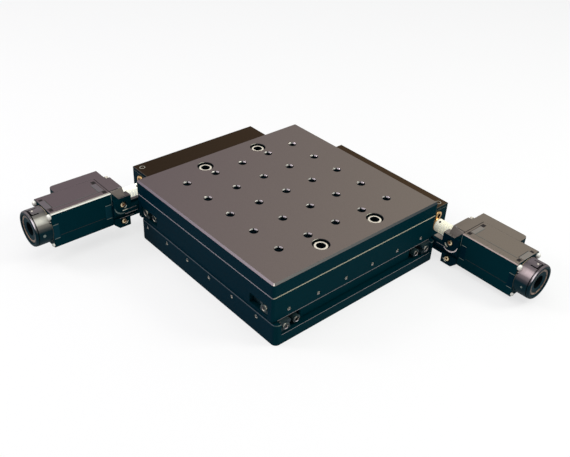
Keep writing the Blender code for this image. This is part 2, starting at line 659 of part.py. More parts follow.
def build_bracket(tag, drive):
    """Motor bracket: a side arm with a raised cheek, a heel and a foot on the housing."""
    inner = BRACKET_IN - AXIS_OUT
    bm = bmesh.new()
    low = -BOX_BOTTOM + 0.2 * MM
    heel_from = CHEEK_FROM + 1.0 * MM
    outline = [(BOX_END + GAP, low), (heel_from, low), (heel_from, -HEEL), (CHEEK_TO, -HEEL),
               (MOTOR_FROM - GAP, -HEEL + 3.8 * MM), (MOTOR_FROM - GAP, -2.0 * MM), (CHEEK_TO, 1.6 * MM),
               (CHEEK_TO, CHEEK_TOP), (CHEEK_FROM, CHEEK_TOP), (CHEEK_FROM, ARM_TOP),
               (BOX_END + GAP, ARM_TOP)]
    add_prism(bm, outline, "Y", inner, inner + BRACKET_T)
    obj = finish(f"{tag}_bracket", bm, black(), parent=drive)
    body = bmesh.new()
    add_block(body, (BOX_END + GAP, CHEEK_FROM - 0.8 * MM), (inner + MM, inner + BRACKET_ARM),
              (low, ARM_TOP))
    boolean(obj, body, f"{tag}_bracket_arm_tool", "UNION")
    foot = bmesh.new()
    add_block(foot, (BOX_END + GAP, BOX_END + 5 * MM), (inner + 2 * MM, BOX_OUT - MM),
              (low, -COUPLING_D / 2 - 1.2 * MM))
    boolean(obj, foot, f"{tag}_bracket_foot_tool", "UNION")
    cheek = bmesh.new()
    add_block(cheek, (CHEEK_FROM, FLANGE_FROM - GAP), (inner + MM, inner + 5.6 * MM),
              (ARM_TOP - 3 * MM, CHEEK_TOP))
    boolean(obj, cheek, f"{tag}_bracket_cheek_tool", "UNION")
    heel = bmesh.new()
    add_block(heel, (heel_from, CHEEK_TO), (inner + MM, inner + 12 * MM),
              (-HEEL, -MOTOR_H / 2 - GAP))
    boolean(obj, heel, f"{tag}_bracket_heel_tool", "UNION")
    boss = bmesh.new()
    add_prism(boss, boss_outline(), "Y", inner - BOSS_PROUD, inner + MM)
    boolean(obj, boss, f"{tag}_bracket_boss_tool", "UNION")
    groove = bmesh.new()
    add_block(groove, (GROOVE_FROM, CHEEK_TO + 8 * MM), (inner - 2 * MM, inner + GROOVE_DEEP),
              (GROOVE_LOW, GROOVE_HIGH))
    boolean(obj, groove, f"{tag}_bracket_groove_tool")
    bores = bmesh.new()
    for w in CHEEK_SCREW_W:
        add_cylinder(bores, (CHEEK_SCREW_U, inner - 2 * BOSS_PROUD, w), "Y",
                     CHEEK_HEAD_D / 2 + 0.3 * MM, 2 * BOSS_PROUD + 1.8 * MM, 24)
    boolean(obj, bores, f"{tag}_bracket_sink_tool")
    holes = bmesh.new()
    for w in CHEEK_SCREW_W:
        add_cylinder(holes, (CHEEK_SCREW_U, inner - MM, w), "Y", CHEEK_SCREW_D / 2 + 0.3 * MM,
                     BRACKET_T + 3 * MM, 20)
    boolean(obj, holes, f"{tag}_bracket_hole_tool")
    return obj


def boss_outline():
    """Outline (u, w) of the raised tongue: square over the arm, round below the upper screw."""
    u, w = CHEEK_SCREW_U, CHEEK_SCREW_W[0]
    points = [(TONGUE_FROM, w - BOSS_R), (TONGUE_FROM, ARM_TOP), (CHEEK_FROM, ARM_TOP),
              (CHEEK_FROM, CHEEK_TOP), (CHEEK_TO, CHEEK_TOP), (CHEEK_TO, w)]
    steps = 10
    for i in range(steps + 1):
        a = -math.pi / 2 * i / steps
        points.append((u + BOSS_R * math.cos(a), w + BOSS_R * math.sin(a)))
    return points


def build_bracket_screws(tag, drive):
    inner = BRACKET_IN - AXIS_OUT
    for i, w in enumerate(CHEEK_SCREW_W, start=1):
        seat = inner + 1.8 * MM - GAP
        place = Matrix.Translation((CHEEK_SCREW_U, seat, w)) @ Matrix.Rotation(math.radians(90), 4, "X")
        socket_screw(f"{tag}_bracket_screw_{i}", CHEEK_HEAD_D, CHEEK_HEAD_H, CHEEK_SCREW_D, 5 * MM,
                     2.2 * MM, 1.4 * MM, brass(), drive, place)


def build_motor(tag, drive):
    """Motor case, its stepped flange and the tapped holes that the bracket screws reach."""
    w = MOTOR_W / 2
    h = MOTOR_H / 2
    bm = bmesh.new()
    add_block(bm, (MOTOR_FROM, MOTOR_TO), (-w, w), (-h, h))
    bevel_edges(bm, lambda a, b: not near(a.x, b.x), 1.2 * MM, 2)
    obj = finish(f"{tag}_motor", bm, moulded(), parent=drive)
    near_side = BRACKET_IN + BRACKET_T + GAP - AXIS_OUT
    shoulder = bmesh.new()
    add_block(shoulder, (SHOULDER_FROM, MOTOR_FROM + MM), (near_side, w - 0.6 * MM), (-h, h))
    boolean(obj, shoulder, f"{tag}_motor_shoulder_tool", "UNION")
    flange = bmesh.new()
    add_block(flange, (FLANGE_FROM, SHOULDER_FROM + MM), (-FLANGE_NEAR, FLANGE_FAR),
              (-h + MM, h - 0.3 * MM))
    boolean(obj, flange, f"{tag}_motor_flange_tool", "UNION")
    bore = bmesh.new()
    add_cylinder(bore, (FLANGE_FROM - MM, 0, 0), "X", JOURNAL_D / 2 + 1.2 * MM,
                 MOTOR_FROM - FLANGE_FROM + 6 * MM, 16)
    boolean(obj, bore, f"{tag}_motor_bore_tool")
    taps = bmesh.new()
    for level in CHEEK_SCREW_W:
        add_cylinder(taps, (CHEEK_SCREW_U, near_side - 2 * MM, level), "Y",
                     CHEEK_SCREW_D / 2 + 0.3 * MM, 6 * MM, 12)
    boolean(obj, taps, f"{tag}_motor_tap_tool")
    return obj


def build_end_cap(tag, drive):
    """Round rear cap with a deep round recess."""
    bm = bmesh.new()
    r = CAP_D / 2
    b = CAP_BORE / 2
    profile = [(0, 0), (r, 0), (r, CAP_LEN - 3.4 * MM), (r - 0.5 * MM, CAP_LEN - 3.0 * MM),
               (r - 0.5 * MM, CAP_LEN - 2.4 * MM), (r - 0.2 * MM, CAP_LEN - 2.0 * MM),
               (r - 1.6 * MM, CAP_LEN), (b + 1.0 * MM, CAP_LEN), (b, CAP_LEN - 0.8 * MM),
               (b, CAP_LEN - CAP_DEEP), (0, CAP_LEN - CAP_DEEP)]
    revolve(bm, profile, 28)
    bmesh.ops.transform(bm, verts=bm.verts,
                        matrix=Matrix.Translation((MOTOR_TO + GAP, 0, 0)) @ along("X"))
    return finish(f"{tag}_end_cap", bm, moulded(), True, drive)


def build_connector(tag, drive):
    """Connector housing on the motor's outer side, with its rear corner rounded."""
    bm = bmesh.new()
    side = MOTOR_W / 2
    top = MOTOR_H / 2
    add_block(bm, (SHOULDER_FROM, CONNECTOR_TO), (side + GAP, side + CONNECTOR_OUT),
              (top - CONNECTOR_H, top))
    bevel_edges(bm, lambda a, b: near(a.x, CONNECTOR_TO) and near(b.x, CONNECTOR_TO)
                and near(a.y, side + CONNECTOR_OUT) and near(b.y, side + CONNECTOR_OUT), 3.0 * MM, 5)
    return finish(f"{tag}_connector", bm, moulded(), parent=drive)


def build_drive(tag, drive, spin, carried, reach):
    """All the pieces of one drive, in its own frame: X out along the screw."""
    build_housing(tag, drive)
    build_cover(tag, drive)
    build_bearing(tag, drive)
    build_screw(tag, spin)
    build_locknut(tag, spin)
    build_coupling(tag, spin)
    build_shaft(tag, spin)
    build_nut(tag, carried, reach)
    build_bracket(tag, drive)
    build_bracket_screws(tag, drive)
    build_motor(tag, drive)
    build_end_cap(tag, drive)
    build_connector(tag, drive)


def empty(name, parent, matrix):
    obj = bpy.data.objects.new(name, None)
    bpy.context.scene.collection.objects.link(obj)
    obj.parent = parent
    obj.matrix_local = matrix
    return obj


def main():
    clear_scene()
    base = empty("base", None, Matrix.Identity(4))
    middle = empty("middle", base, Matrix.Translation((REST_X, 0, 0)))
    table = empty("table", middle, Matrix.Identity(4))
    build_base()
    build_middle(middle)
    build_frame(table)
    build_plate(table)
    build_table_screws(table)
    build_rails(base, middle, table)
    # The lower drive looks out along +X, the upper one along -Y.
    x_place = Matrix.Translation((0, AXIS_OUT, X_AXIS_Z))
    y_place = Matrix.Translation((-AXIS_OUT, 0, Y_AXIS_Z)) @ Matrix.Rotation(math.radians(-90), 4, "Z")
    y_place = y_place @ Matrix.Scale(-1, 4, (0, 1, 0))
    x_drive = empty("x_drive", base, x_place)
    y_drive = empty("y_drive", middle, y_place)
    x_spin = empty("x_spin", base, x_place)
    y_spin = empty("y_spin", middle, y_place)
    x_carried = empty("x_carried", middle, x_place)
    y_carried = empty("y_carried", table, y_place)
    build_drive("x", x_drive, x_spin, x_carried, AXIS_OUT - HALF + MIDDLE_SHORT - GAP)
    build_drive("y", y_drive, y_spin, y_carried, AXIS_OUT - HALF - GAP)
    bpy.context.view_layer.update()


main()
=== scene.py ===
"""Looks of the motorised alignment stage: finishes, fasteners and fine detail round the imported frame.

Lengths in the tables of sizes are in millimetres, and MM turns them into metres. A drive's
pieces are made in the drive's own frame: u out along its screw, v away from the stage, w up.
"""
import math

import bmesh
import bpy
from mathutils import Matrix, Vector


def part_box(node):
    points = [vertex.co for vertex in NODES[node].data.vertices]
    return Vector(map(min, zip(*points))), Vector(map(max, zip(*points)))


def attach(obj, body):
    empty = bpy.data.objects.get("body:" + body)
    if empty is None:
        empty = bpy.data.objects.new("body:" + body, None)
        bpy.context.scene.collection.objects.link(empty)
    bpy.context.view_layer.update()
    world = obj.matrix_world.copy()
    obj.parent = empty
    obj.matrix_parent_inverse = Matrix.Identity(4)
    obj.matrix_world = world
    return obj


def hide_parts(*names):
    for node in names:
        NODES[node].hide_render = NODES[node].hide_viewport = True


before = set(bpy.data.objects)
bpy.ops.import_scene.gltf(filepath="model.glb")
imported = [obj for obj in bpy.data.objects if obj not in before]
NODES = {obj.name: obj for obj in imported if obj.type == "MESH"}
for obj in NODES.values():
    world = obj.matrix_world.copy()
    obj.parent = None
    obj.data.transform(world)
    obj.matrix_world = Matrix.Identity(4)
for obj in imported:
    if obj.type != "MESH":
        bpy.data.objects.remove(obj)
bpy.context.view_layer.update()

MM = 0.001
TAU = 2 * math.pi

# Camera, fitted to the photograph's 25 holes and rail screws
FOCAL_PX = 752.4
PHOTO_WIDTH = 570
SENSOR = 36.0
CAMERA_AT = (331.63, -308.76, 325.12)
AZIMUTH = 47.28
ELEVATION = 34.25
ROLL = -3.03

# Light
FLOOR_GLOW = 0.7
WORLD_LEVEL = 0.5
LEFT_LAMP = 3.0
RIGHT_LAMP = 3.5
TOP_LAMP = 4.0

# Places read from the frame
PLATE_LOW, PLATE_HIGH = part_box("top_plate")
FRAME_LOW, FRAME_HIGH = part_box("table_frame")
BASE_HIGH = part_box("base_plate")[1]
SCREW_X = [sum(pair) / 2 for pair in zip(*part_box("x_ball_screw"))]
SCREW_Y = [sum(pair) / 2 for pair in zip(*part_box("y_ball_screw"))]
TABLE_X = (PLATE_LOW[0] + PLATE_HIGH[0]) / 2

# Table
GRID = 25.0
GRID_N = 5
TAP_R = 2.95
THREAD_R = 2.5
THREAD_PITCH = 1.0
THREAD_FROM = 2.1
THREAD_LEN = 6.5
SINK_R = 3.12
SINK_DEEP = 0.6
CONE_DEEP = 0.93
BOLT_X = 62.5
BOLT_Y = 25.0
BOLT_R = 3.0
BOLT_LEN = 10.0
BOLT_HEAD_D = 9.6
BOLT_HEAD_H = 6.0
BOLT_HEX = 5.5
BOLT_HEX_DEEP = 3.0
BOLT_SINK = 1.15
BORE_R = 6.1
BORE_DEEP = 7.5
BORE_SKIN = 0.25
SHANK_OVERLAP = 0.1

# Rail screws
HALF_SIDE = 76.2
RAIL_PITCH = 25.0
SET_N = 6
SET_D = 2.52
SET_LEN = 3.0
SET_HEX = 1.5
SET_SUNK = 0.15
SET_SHIFT_X = -5.5
SET_BELOW_BASE_TOP = 4.0
SET_ABOVE_FRAME_LOW = 5.0
END_SCREW_HEX = 3.0
STUB_R = 2.9
STUB_END = 74.4

# Motors and caps; places along a drive are measured from the base's middle
MOTOR_W = 25.0
MOTOR_H = 28.0
MOTOR_FROM = 95.2
MOTOR_TO = 141.0
LID_TABS = (((97.6, 101.4), (-6.8, 4.4)), ((136.7, 141.0), (-5.4, 5.6)))
LID_WINDOWS = (((96.8, 99.8), (4.9, 8.6)), ((96.8, 99.8), (-10.6, -7.3)),
               ((137.2, 139.8), (-9.6, -6.2)), ((137.2, 139.8), (6.3, 8.4)))
LID_SEAMS = (((97.1, 97.5), (-7.1, 4.8)), ((136.1, 136.5), (-6.0, 6.1)))
LID_RIDGES = (((101.6, 136.0), (-6.7, -6.5), 0.04), ((101.3, 101.5), (-6.6, 4.2), 0.3),
              ((136.7, 136.9), (-5.2, 5.4), 0.3))
LID_SEAM_LONG = ((101.4, 136.2), (-7.0, -6.8))
SIDE_TABS = ((96.0, 100.8), (136.4, 141.0))
SIDE_RIDGES = ((96.2, 100.4), (136.6, 140.6))
SIDE_TAB_TOP = 4.6
SIDE_TAB_LOW = -6.4
CASE_SEAM_U = (101.5, 135.9)
CASE_SEAM_W = -5.0
HOOK_V = (-10.6, 10.6)
JOINT_U = (88.4, 126.0)
REAR_BOLTS = ((-11.0, 11.2), (10.6, 11.2))
REAR_SCREWS = ((-11.3, -11.6), (11.3, -11.6))
FRONT_BOLT = (87.2, 9.8, 12.1)
CAP_FROM = 141.3
CAP_D = 26.4
CAP_LEN = 12.0
CAP_ROUND = 1.5
CAP_DEEP = 6.0
CLIP_GROOVES = (((150.3, 151.1), (-4.7, 2.2)), ((145.6, 151.1), (-4.7, -3.9)))
CLIP_SCREW = (148.6, -0.4)
CLIP_SEAM = ((144.2, 150.6), (1.5, 2.1))
DIMPLE = (147.6, -0.7)
DIMPLE_R = {"x": 0.75, "y": 1.1}

# Couplings, housings and brackets
COUPLING_FROM = 65.2
COUPLING_LEN = 18.0
COUPLING_D = 10.0
COUPLING_EDGE = 0.4
SLIT_N = 8
SLIT_PITCH = 1.15
SLIT_HALF = 0.2
SLIT_PAST_AXIS = 2.9
CLAMP_FROM_END = 2.6
CLAMP_TURN = 22
JOURNAL_D = 5.0
BOX_END = 62.0
BOX_TOP = 13.0
BOX_IN = 9.6
BOX_OUT = 12.6
END_SCREW = (1.7, 6.4)
COVER_SCREW = (57.5, 6.6)
COVER_SEAM_W = (10.2, 10.4)
BRACKET_FACE = -13.5
BOSS_OUT = 1.0
CHEEK_SCREW_U = 87.4
CHEEK_SCREW_W = (2.2, -11.8)
CHEEK_SCREW_D = (4.2, 3.8)
CHEEK_SCREW_LEN = 5.0
TAB_U = (71.6, 80.6)
TAB_UNDER_COUPLING = {"x": (-12.4, -0.85, 0.1), "y": (-10.7, 1.1, 0.3)}
CHEEK_U = (80.9, 88.0)
CHEEK_REAR_U = (87.5, 90.9)
CHEEK_TOP = 8.0
SHOULDER_U = (84.8, 95.1)


def drive_frames():
    """The two drives' frames, placed by their screws."""
    x_drive = Matrix.Translation((0, SCREW_X[1], SCREW_X[2]))
    y_drive = (Matrix.Translation((SCREW_Y[0], 0, SCREW_Y[2])) @ Matrix.Rotation(math.radians(-90), 4, "Z")
               @ Matrix.Scale(-1, 4, (0, 1, 0)))
    return {"x": x_drive, "y": y_drive}


DRIVES = drive_frames()

# The body that carries each drive, and the one that turns in it
STATOR = {"x": "base", "y": "middle"}
SPIN = {"x": "x_screw", "y": "y_screw"}


def build_camera():
    """Camera of the photograph, from its azimuth, elevation and roll."""
    az, el, roll = (math.radians(a) for a in (AZIMUTH, ELEVATION, ROLL))
    back = Vector((math.sin(az) * math.cos(el), -math.cos(az) * math.cos(el), math.sin(el)))
    right = (-back).cross(Vector((0, 0, 1))).normalized()
    down = (-back).cross(right)
    side = math.cos(roll) * right + math.sin(roll) * down
    low = -math.sin(roll) * right + math.cos(roll) * down
    data = bpy.data.cameras.new("camera")
    data.sensor_width = SENSOR
    data.lens = FOCAL_PX / PHOTO_WIDTH * SENSOR
    data.clip_start = 0.01
    data.clip_end = 20
    cam = bpy.data.objects.new("camera", data)
    turn = Matrix((side, -low, back)).transposed().to_4x4()
    cam.matrix_world = Matrix.Translation(Vector(CAMERA_AT) * MM) @ turn
    bpy.context.scene.collection.objects.link(cam)
    bpy.context.scene.camera = cam


def area_light(name, place, target, size, power, colour=(1, 1, 1)):
    """Rectangular lamp that looks at a target, in metres."""
    data = bpy.data.lights.new(name, "AREA")
    data.shape = "RECTANGLE"
    data.size, data.size_y = size
    data.energy = power
    data.color = colour
    obj = bpy.data.objects.new(name, data)
    aim = Vector(target) - Vector(place)
    obj.matrix_world = Matrix.Translation(place) @ aim.to_track_quat("-Z", "Y").to_matrix().to_4x4()
    bpy.context.scene.collection.objects.link(obj)


def build_stage():
    """White floor and world, with soft lamps above."""
    bpy.context.scene.view_settings.view_transform = "Standard"
    bm = bmesh.new()
    bmesh.ops.create_circle(bm, cap_ends=True, segments=64, radius=3.0)
    mesh = bpy.data.meshes.new("floor")
    bm.to_mesh(mesh)
    bm.free()
    floor = bpy.data.objects.new("floor", mesh)
    floor.location.z = -0.0002
    bpy.context.scene.collection.objects.link(floor)
    mat = bpy.data.materials.new("floor")
    mat.use_nodes = True
    nodes, links = mat.node_tree.nodes, mat.node_tree.links
    shader = nodes["Principled BSDF"]
    shader.inputs["Base Color"].default_value = (0.9, 0.9, 0.9, 1)
    shader.inputs["Roughness"].default_value = 0.9
    glow = nodes.new("ShaderNodeEmission")
    glow.inputs["Strength"].default_value = 1.0
    path = nodes.new("ShaderNodeLightPath")
    seen = nodes.new("ShaderNodeMath")
    seen.operation = "MAXIMUM"
    links.new(path.outputs["Is Camera Ray"], seen.inputs[0])
    links.new(path.outputs["Is Glossy Ray"], seen.inputs[1])
    also = nodes.new("ShaderNodeMath")
    also.operation = "MAXIMUM"
    links.new(seen.outputs[0], also.inputs[0])
    links.new(path.outputs["Is Transmission Ray"], also.inputs[1])
    share = nodes.new("ShaderNodeMath")
    share.operation = "MULTIPLY"
    share.inputs[1].default_value = FLOOR_GLOW
    links.new(also.outputs[0], share.inputs[0])
    mix = nodes.new("ShaderNodeMixShader")
    links.new(share.outputs[0], mix.inputs["Fac"])
    links.new(shader.outputs[0], mix.inputs[1])
    links.new(glow.outputs[0], mix.inputs[2])
    links.new(mix.outputs[0], nodes["Material Output"].inputs["Surface"])
    mesh.materials.append(mat)

    world = bpy.data.worlds.new("world")
    bpy.context.scene.world = world
    world.use_nodes = True
    nodes, links = world.node_tree.nodes, world.node_tree.links
    plain = nodes["Background"]
    plain.inputs["Color"].default_value = (0.96, 0.98, 1.0, 1)
    plain.inputs["Strength"].default_value = WORLD_LEVEL
    white = nodes.new("ShaderNodeBackground")
    white.inputs["Color"].default_value = (1, 1, 1, 1)
    path = nodes.new("ShaderNodeLightPath")
    mix = nodes.new("ShaderNodeMixShader")
    links.new(path.outputs["Is Camera Ray"], mix.inputs["Fac"])
    links.new(plain.outputs[0], mix.inputs[1])
    links.new(white.outputs[0], mix.inputs[2])
    links.new(mix.outputs[0], nodes["World Output"].inputs["Surface"])
    area_light("left", (-0.55, -0.65, 0.62), (-0.03, 0, 0.03), (0.3, 0.3), LEFT_LAMP, (1.0, 0.94, 0.99))
    area_light("right", (0.60, 0.55, 0.66), (0.03, 0, 0.03), (0.3, 0.3), RIGHT_LAMP, (1.0, 1.0, 0.93))
    area_light("top", (0.10, -0.15, 1.05), (0, 0, 0.03), (0.9, 0.9), TOP_LAMP)


def srgb(red, green, blue):
    """Linear colour from 0 to 255 display values."""
    return tuple(c / 12.92 if c <= 0.04045 else ((c + 0.055) / 1.055) ** 2.4
                 for c in (red / 255, green / 255, blue / 255))


def shader_of(name, colour, roughness, metallic=0.0, specular=0.5):
    """New finish with its nodes, links and shader."""
    mat = bpy.data.materials.new(name)
    mat.use_nodes = True
    shader = mat.node_tree.nodes["Principled BSDF"]
    shader.inputs["Base Color"].default_value = (*colour, 1)
    shader.inputs["Roughness"].default_value = roughness
    shader.inputs["Metallic"].default_value = metallic
    shader.inputs["Specular IOR Level"].default_value = specular
    return mat, mat.node_tree.nodes, mat.node_tree.links, shader


def noise(nodes, links, scale, detail=3.0, rough=0.5, stretch=None):
    """Noise in the object's own coordinates, in metres, with scale per metre."""
    place = nodes.new("ShaderNodeTexCoord")
    tex = nodes.new("ShaderNodeTexNoise")
    tex.inputs["Scale"].default_value = scale
    tex.inputs["Detail"].default_value = detail
    tex.inputs["Roughness"].default_value = rough
    if stretch:
        mapping = nodes.new("ShaderNodeMapping")
        mapping.inputs["Scale"].default_value = stretch
        links.new(place.outputs["Object"], mapping.inputs["Vector"])
        links.new(mapping.outputs["Vector"], tex.inputs["Vector"])
    else:
        links.new(place.outputs["Object"], tex.inputs["Vector"])
    return tex.outputs["Fac"]


def ramp(nodes, links, value, stops):
    """Colour or grey by a value; stops are (position, colour)."""
    node = nodes.new("ShaderNodeValToRGB")
    band = node.color_ramp.elements
    while len(band) < len(stops):
        band.new(0.5)
    for element, (position, colour) in zip(band, stops):
        element.position = position
        element.color = (*colour, 1)
    links.new(value, node.inputs["Fac"])
    return node.outputs["Color"]


def multiply(nodes, links, a, b):
    """Product of two colours from nodes."""
    mix = nodes.new("ShaderNodeMix")
    mix.data_type = "RGBA"
    mix.blend_type = "MULTIPLY"
    mix.inputs["Factor"].default_value = 1.0
    links.new(a, mix.inputs[6])
    links.new(b, mix.inputs[7])
    return mix.outputs[2]


def bump(nodes, links, shader, height, strength, distance):
    """Fine relief from a height, with distance in metres."""
    node = nodes.new("ShaderNodeBump")
    node.inputs["Strength"].default_value = strength
    node.inputs["Distance"].default_value = distance
    links.new(height, node.inputs["Height"])
    links.new(node.outputs["Normal"], shader.inputs["Normal"])


def along(nodes, links, coordinate, direction, low, high):
    """How far a place or a normal lies along a direction, from 0 at low to 1 at high."""
    place = nodes.new("ShaderNodeTexCoord")
    dot = nodes.new("ShaderNodeVectorMath")
    dot.operation = "DOT_PRODUCT"
    dot.inputs[1].default_value = direction
    links.new(place.outputs[coordinate], dot.inputs[0])
    share = nodes.new("ShaderNodeMapRange")
    share.inputs["From Min"].default_value = low
    share.inputs["From Max"].default_value = high
    links.new(dot.outputs["Value"], share.inputs["Value"])
    return share.outputs["Result"]


def blended(nodes, links, share, a, b):
    """Mix of two colours, each a tuple or the output of a node."""
    mix = nodes.new("ShaderNodeMix")
    mix.data_type = "RGBA"
    links.new(share, mix.inputs["Factor"])
    for socket, value in ((mix.inputs[6], a), (mix.inputs[7], b)):
        if isinstance(value, tuple):
            socket.default_value = (*value, 1)
        else:
            links.new(value, socket)
    return mix.outputs[2]


def coat(name, side, faces, roughness, specular=0.01, grain=1500.0, spread=0.07, depth=0.02,
         metallic=0.0):
    """Coat coloured by where its faces look, which paints highlights and shade into it, with fine grain.

    faces holds (direction, low, high, colour), where a colour may be a run (direction, near, far,
    first colour, last colour) over the object's length.
    """
    mat, nodes, links, shader = shader_of(name, side, roughness, metallic, specular)
    tone = side
    for direction, low, high, colour in faces:
        if len(colour) == 5:
            way, near, far, first, last = colour
            colour = blended(nodes, links, along(nodes, links, "Object", way, near, far), first, last)
        tone = blended(nodes, links, along(nodes, links, "Normal", direction, low, high), tone, colour)
    fine = ramp(nodes, links, noise(nodes, links, grain, 2.0, 0.6),
                [(0.35, (1 - spread,) * 3), (0.65, (1.0,) * 3)])
    links.new(multiply(nodes, links, tone, fine), shader.inputs["Base Color"])
    level = ramp(nodes, links, noise(nodes, links, grain, 2.0, 0.6),
                 [(0.3, (roughness - 0.05,) * 3), (0.7, (roughness + 0.06,) * 3)])
    links.new(level, shader.inputs["Roughness"])
    bump(nodes, links, shader, noise(nodes, links, grain * 2, 3.0, 0.7), 0.35, depth * MM)
    return mat


def metal(name, colour, roughness, streak=None, depth=0.01):
    """Bare metal with fine streaks or grain."""
    mat, nodes, links, shader = shader_of(name, colour, roughness, 1.0)
    grain = noise(nodes, links, 900.0, 3.0, 0.6, streak)
    tint = ramp(nodes, links, grain, [(0.3, tuple(0.82 * c for c in colour)), (0.7, colour)])
    links.new(tint, shader.inputs["Base Color"])
    level = ramp(nodes, links, grain, [(0.3, (roughness + 0.08,) * 3), (0.7, (roughness,) * 3)])
    links.new(level, shader.inputs["Roughness"])
    bump(nodes, links, shader, grain, 0.3, depth * MM)
    return mat


def plastic(name, colour, roughness, specular=0.4, mottle=0.06, glow=0.0):
    """Moulded plastic or paint, slightly mottled, which may glow as painted light."""
    mat, nodes, links, shader = shader_of(name, colour, roughness, 0.0, specular)
    shader.inputs["Emission Color"].default_value = (*colour, 1)
    shader.inputs["Emission Strength"].default_value = glow
    cloud = noise(nodes, links, 260.0, 4.0)
    low = tuple(c * (1 - mottle) for c in colour)
    links.new(ramp(nodes, links, cloud, [(0.3, low), (0.7, colour)]), shader.inputs["Base Color"])
    bump(nodes, links, shader, noise(nodes, links, 2500.0, 3.0, 0.7), 0.3, 0.01 * MM)
    return mat


# Directions in which faces look, and the tones that they share, some of them painted light
UP = (0, 0, 1)
X_UP = (0.7071, 0, 0.7071)
Y_UP = (0, -0.7071, 0.7071)
RIGHTWARD = (0.7071, 0.7071, 0)
NEAR_UP = (0.5, -0.5, 0.7071)
AWAY = (0.735, -0.678, 0)
LEFT_WALL = (0.87, 0.087, 0.485)
RIGHT_WALL = (0.289, -0.826, 0.485)
DARK = srgb(0, 38, 46)
# Painted sheen of level tops: lighter than the dark sides, and lighter towards +X+Y as painted light
LEVEL = (RIGHTWARD, -0.15, 0.15, srgb(97, 86, 89), srgb(118, 109, 99))


def painted_light_faces(edge, x_edge_highlight, y_edge_highlight, top, top_from=0.985):
    """Faces of a coat, with painted light: -Y faces a little darker as painted shade, painted highlights on
    broken edges and on those that look to +X and -Y, and the tone of the level top.
    """
    return [((0, -1, 0), 0.9, 1.0, srgb(0, 31, 43)), (UP, 0.60, 0.70, edge),
            (X_UP, 0.90, 0.97, x_edge_highlight), (Y_UP, 0.90, 0.97, y_edge_highlight), (UP, top_from, 0.999, top)]


# Plate: dark sides, painted highlights on the chamfers that change along the plate, a bright painted
# highlight on the near corner, and the painted sheen of level tops
PLATE = coat("plate_anodised", DARK, painted_light_faces(
    srgb(92, 88, 90),
    ((0, 1, 0), -0.076, 0.076, srgb(112, 111, 108), srgb(50, 60, 65)),
    ((1, 0, 0), -0.08, 0.073, srgb(122, 112, 120), srgb(156, 144, 150)),
    LEVEL) + [(NEAR_UP, 0.94, 0.97, srgb(250, 242, 232))], 0.5)
# Frame and body: dark, with painted highlights on their chamfers, which differ where they look to +X and to
# -Y
FRAME = coat("frame_anodised", DARK, painted_light_faces(srgb(84, 86, 84), srgb(186, 182, 160), srgb(146, 142, 148),
                                           DARK), 0.5)
BODY = coat("body_anodised", DARK, painted_light_faces(srgb(50, 66, 66), srgb(92, 104, 100), srgb(76, 84, 92),
                                         DARK), 0.5)
# Brackets: painted highlights on the chamfers, and level faces from just under the screw's axis up painted
# lighter as sheen, more on the x bracket than on the y one
BRACKETS = {
    tag: coat(f"bracket_anodised_{tag}", DARK, painted_light_faces(
        srgb(60, 70, 72), srgb(120, 120, 112), srgb(104, 102, 108),
        (UP, (axis - 0.98) * MM, (axis - 0.9) * MM, DARK, shade)), 0.5)
    for tag, axis, shade in (("x", SCREW_X[2] / MM, srgb(156, 147, 138)),
                             ("y", SCREW_Y[2] / MM, srgb(106, 97, 97)))}
# Housings: dark sides with painted highlights on the chamfers, and a brown top that is painted lighter
# towards +X+Y
BROWN = coat("housing_anodised", DARK, painted_light_faces(
    srgb(52, 46, 40), srgb(84, 78, 66), srgb(80, 70, 62),
    (RIGHTWARD, -0.10, 0.10, srgb(48, 37, 27), srgb(68, 53, 38))), 0.5, spread=0.14)
# Motor case: dark, with painted highlights on the broken edges that look to +X and to -Y, white and pink,
# and the painted sheen of level tops
MOULD = coat("moulded_case", DARK, [
    (UP, 0.60, 0.70, srgb(112, 104, 100)),
    ((0.92, 0, 0.38), 0.95, 0.98, srgb(255, 255, 244)),
    ((0, -0.92, 0.38), 0.95, 0.98, srgb(190, 172, 166)),
    ((0.38, 0, 0.92), 0.95, 0.98, srgb(168, 162, 152)),
    ((0, -0.38, 0.92), 0.95, 0.98, srgb(126, 116, 106)),
    (UP, 0.97, 0.999, LEVEL)], 0.5, grain=1100.0)
# Caps: dark, with painted sheen on their upper faces, a painted highlight band where they look up to +X on
# the y cap and to -Y on the x cap, and a painted highlight line on the front ring
CAPS = {
    "y": coat("cap_moulding_y", srgb(4, 34, 42), [
        (UP, 0.2, 0.8, srgb(106, 100, 102)), (X_UP, 0.80, 0.97, srgb(80, 80, 76)),
        (X_UP, 0.90, 1.0, srgb(136, 132, 124)), (X_UP, 0.972, 1.0, srgb(214, 212, 200)),
        ((0.61, -0.5, 0.61), 0.945, 0.985, srgb(250, 240, 250))], 0.45, 0.03, 1100.0),
    "x": coat("cap_moulding_x", srgb(4, 34, 42), [
        (UP, 0.2, 0.8, srgb(102, 94, 97)), (Y_UP, 0.80, 0.97, srgb(76, 70, 74)),
        (Y_UP, 0.90, 1.0, srgb(136, 124, 126)), (Y_UP, 0.972, 1.0, srgb(206, 188, 190)),
        ((0.5, -0.61, 0.61), 0.945, 0.985, srgb(236, 226, 232))], 0.45, 0.03, 1100.0)}
# Hole rims: dark metal with a painted lighter streak and painted glints, yellow-white and pink, on the far
# walls
GLINT = coat("hole_edge", srgb(12, 32, 42), [
    (AWAY, 0.86, 0.89, srgb(52, 66, 70)), (LEFT_WALL, 0.86, 0.93, srgb(255, 254, 240)),
    (RIGHT_WALL, 0.89, 0.95, srgb(255, 240, 246))], 0.22, 0.5, metallic=1.0)
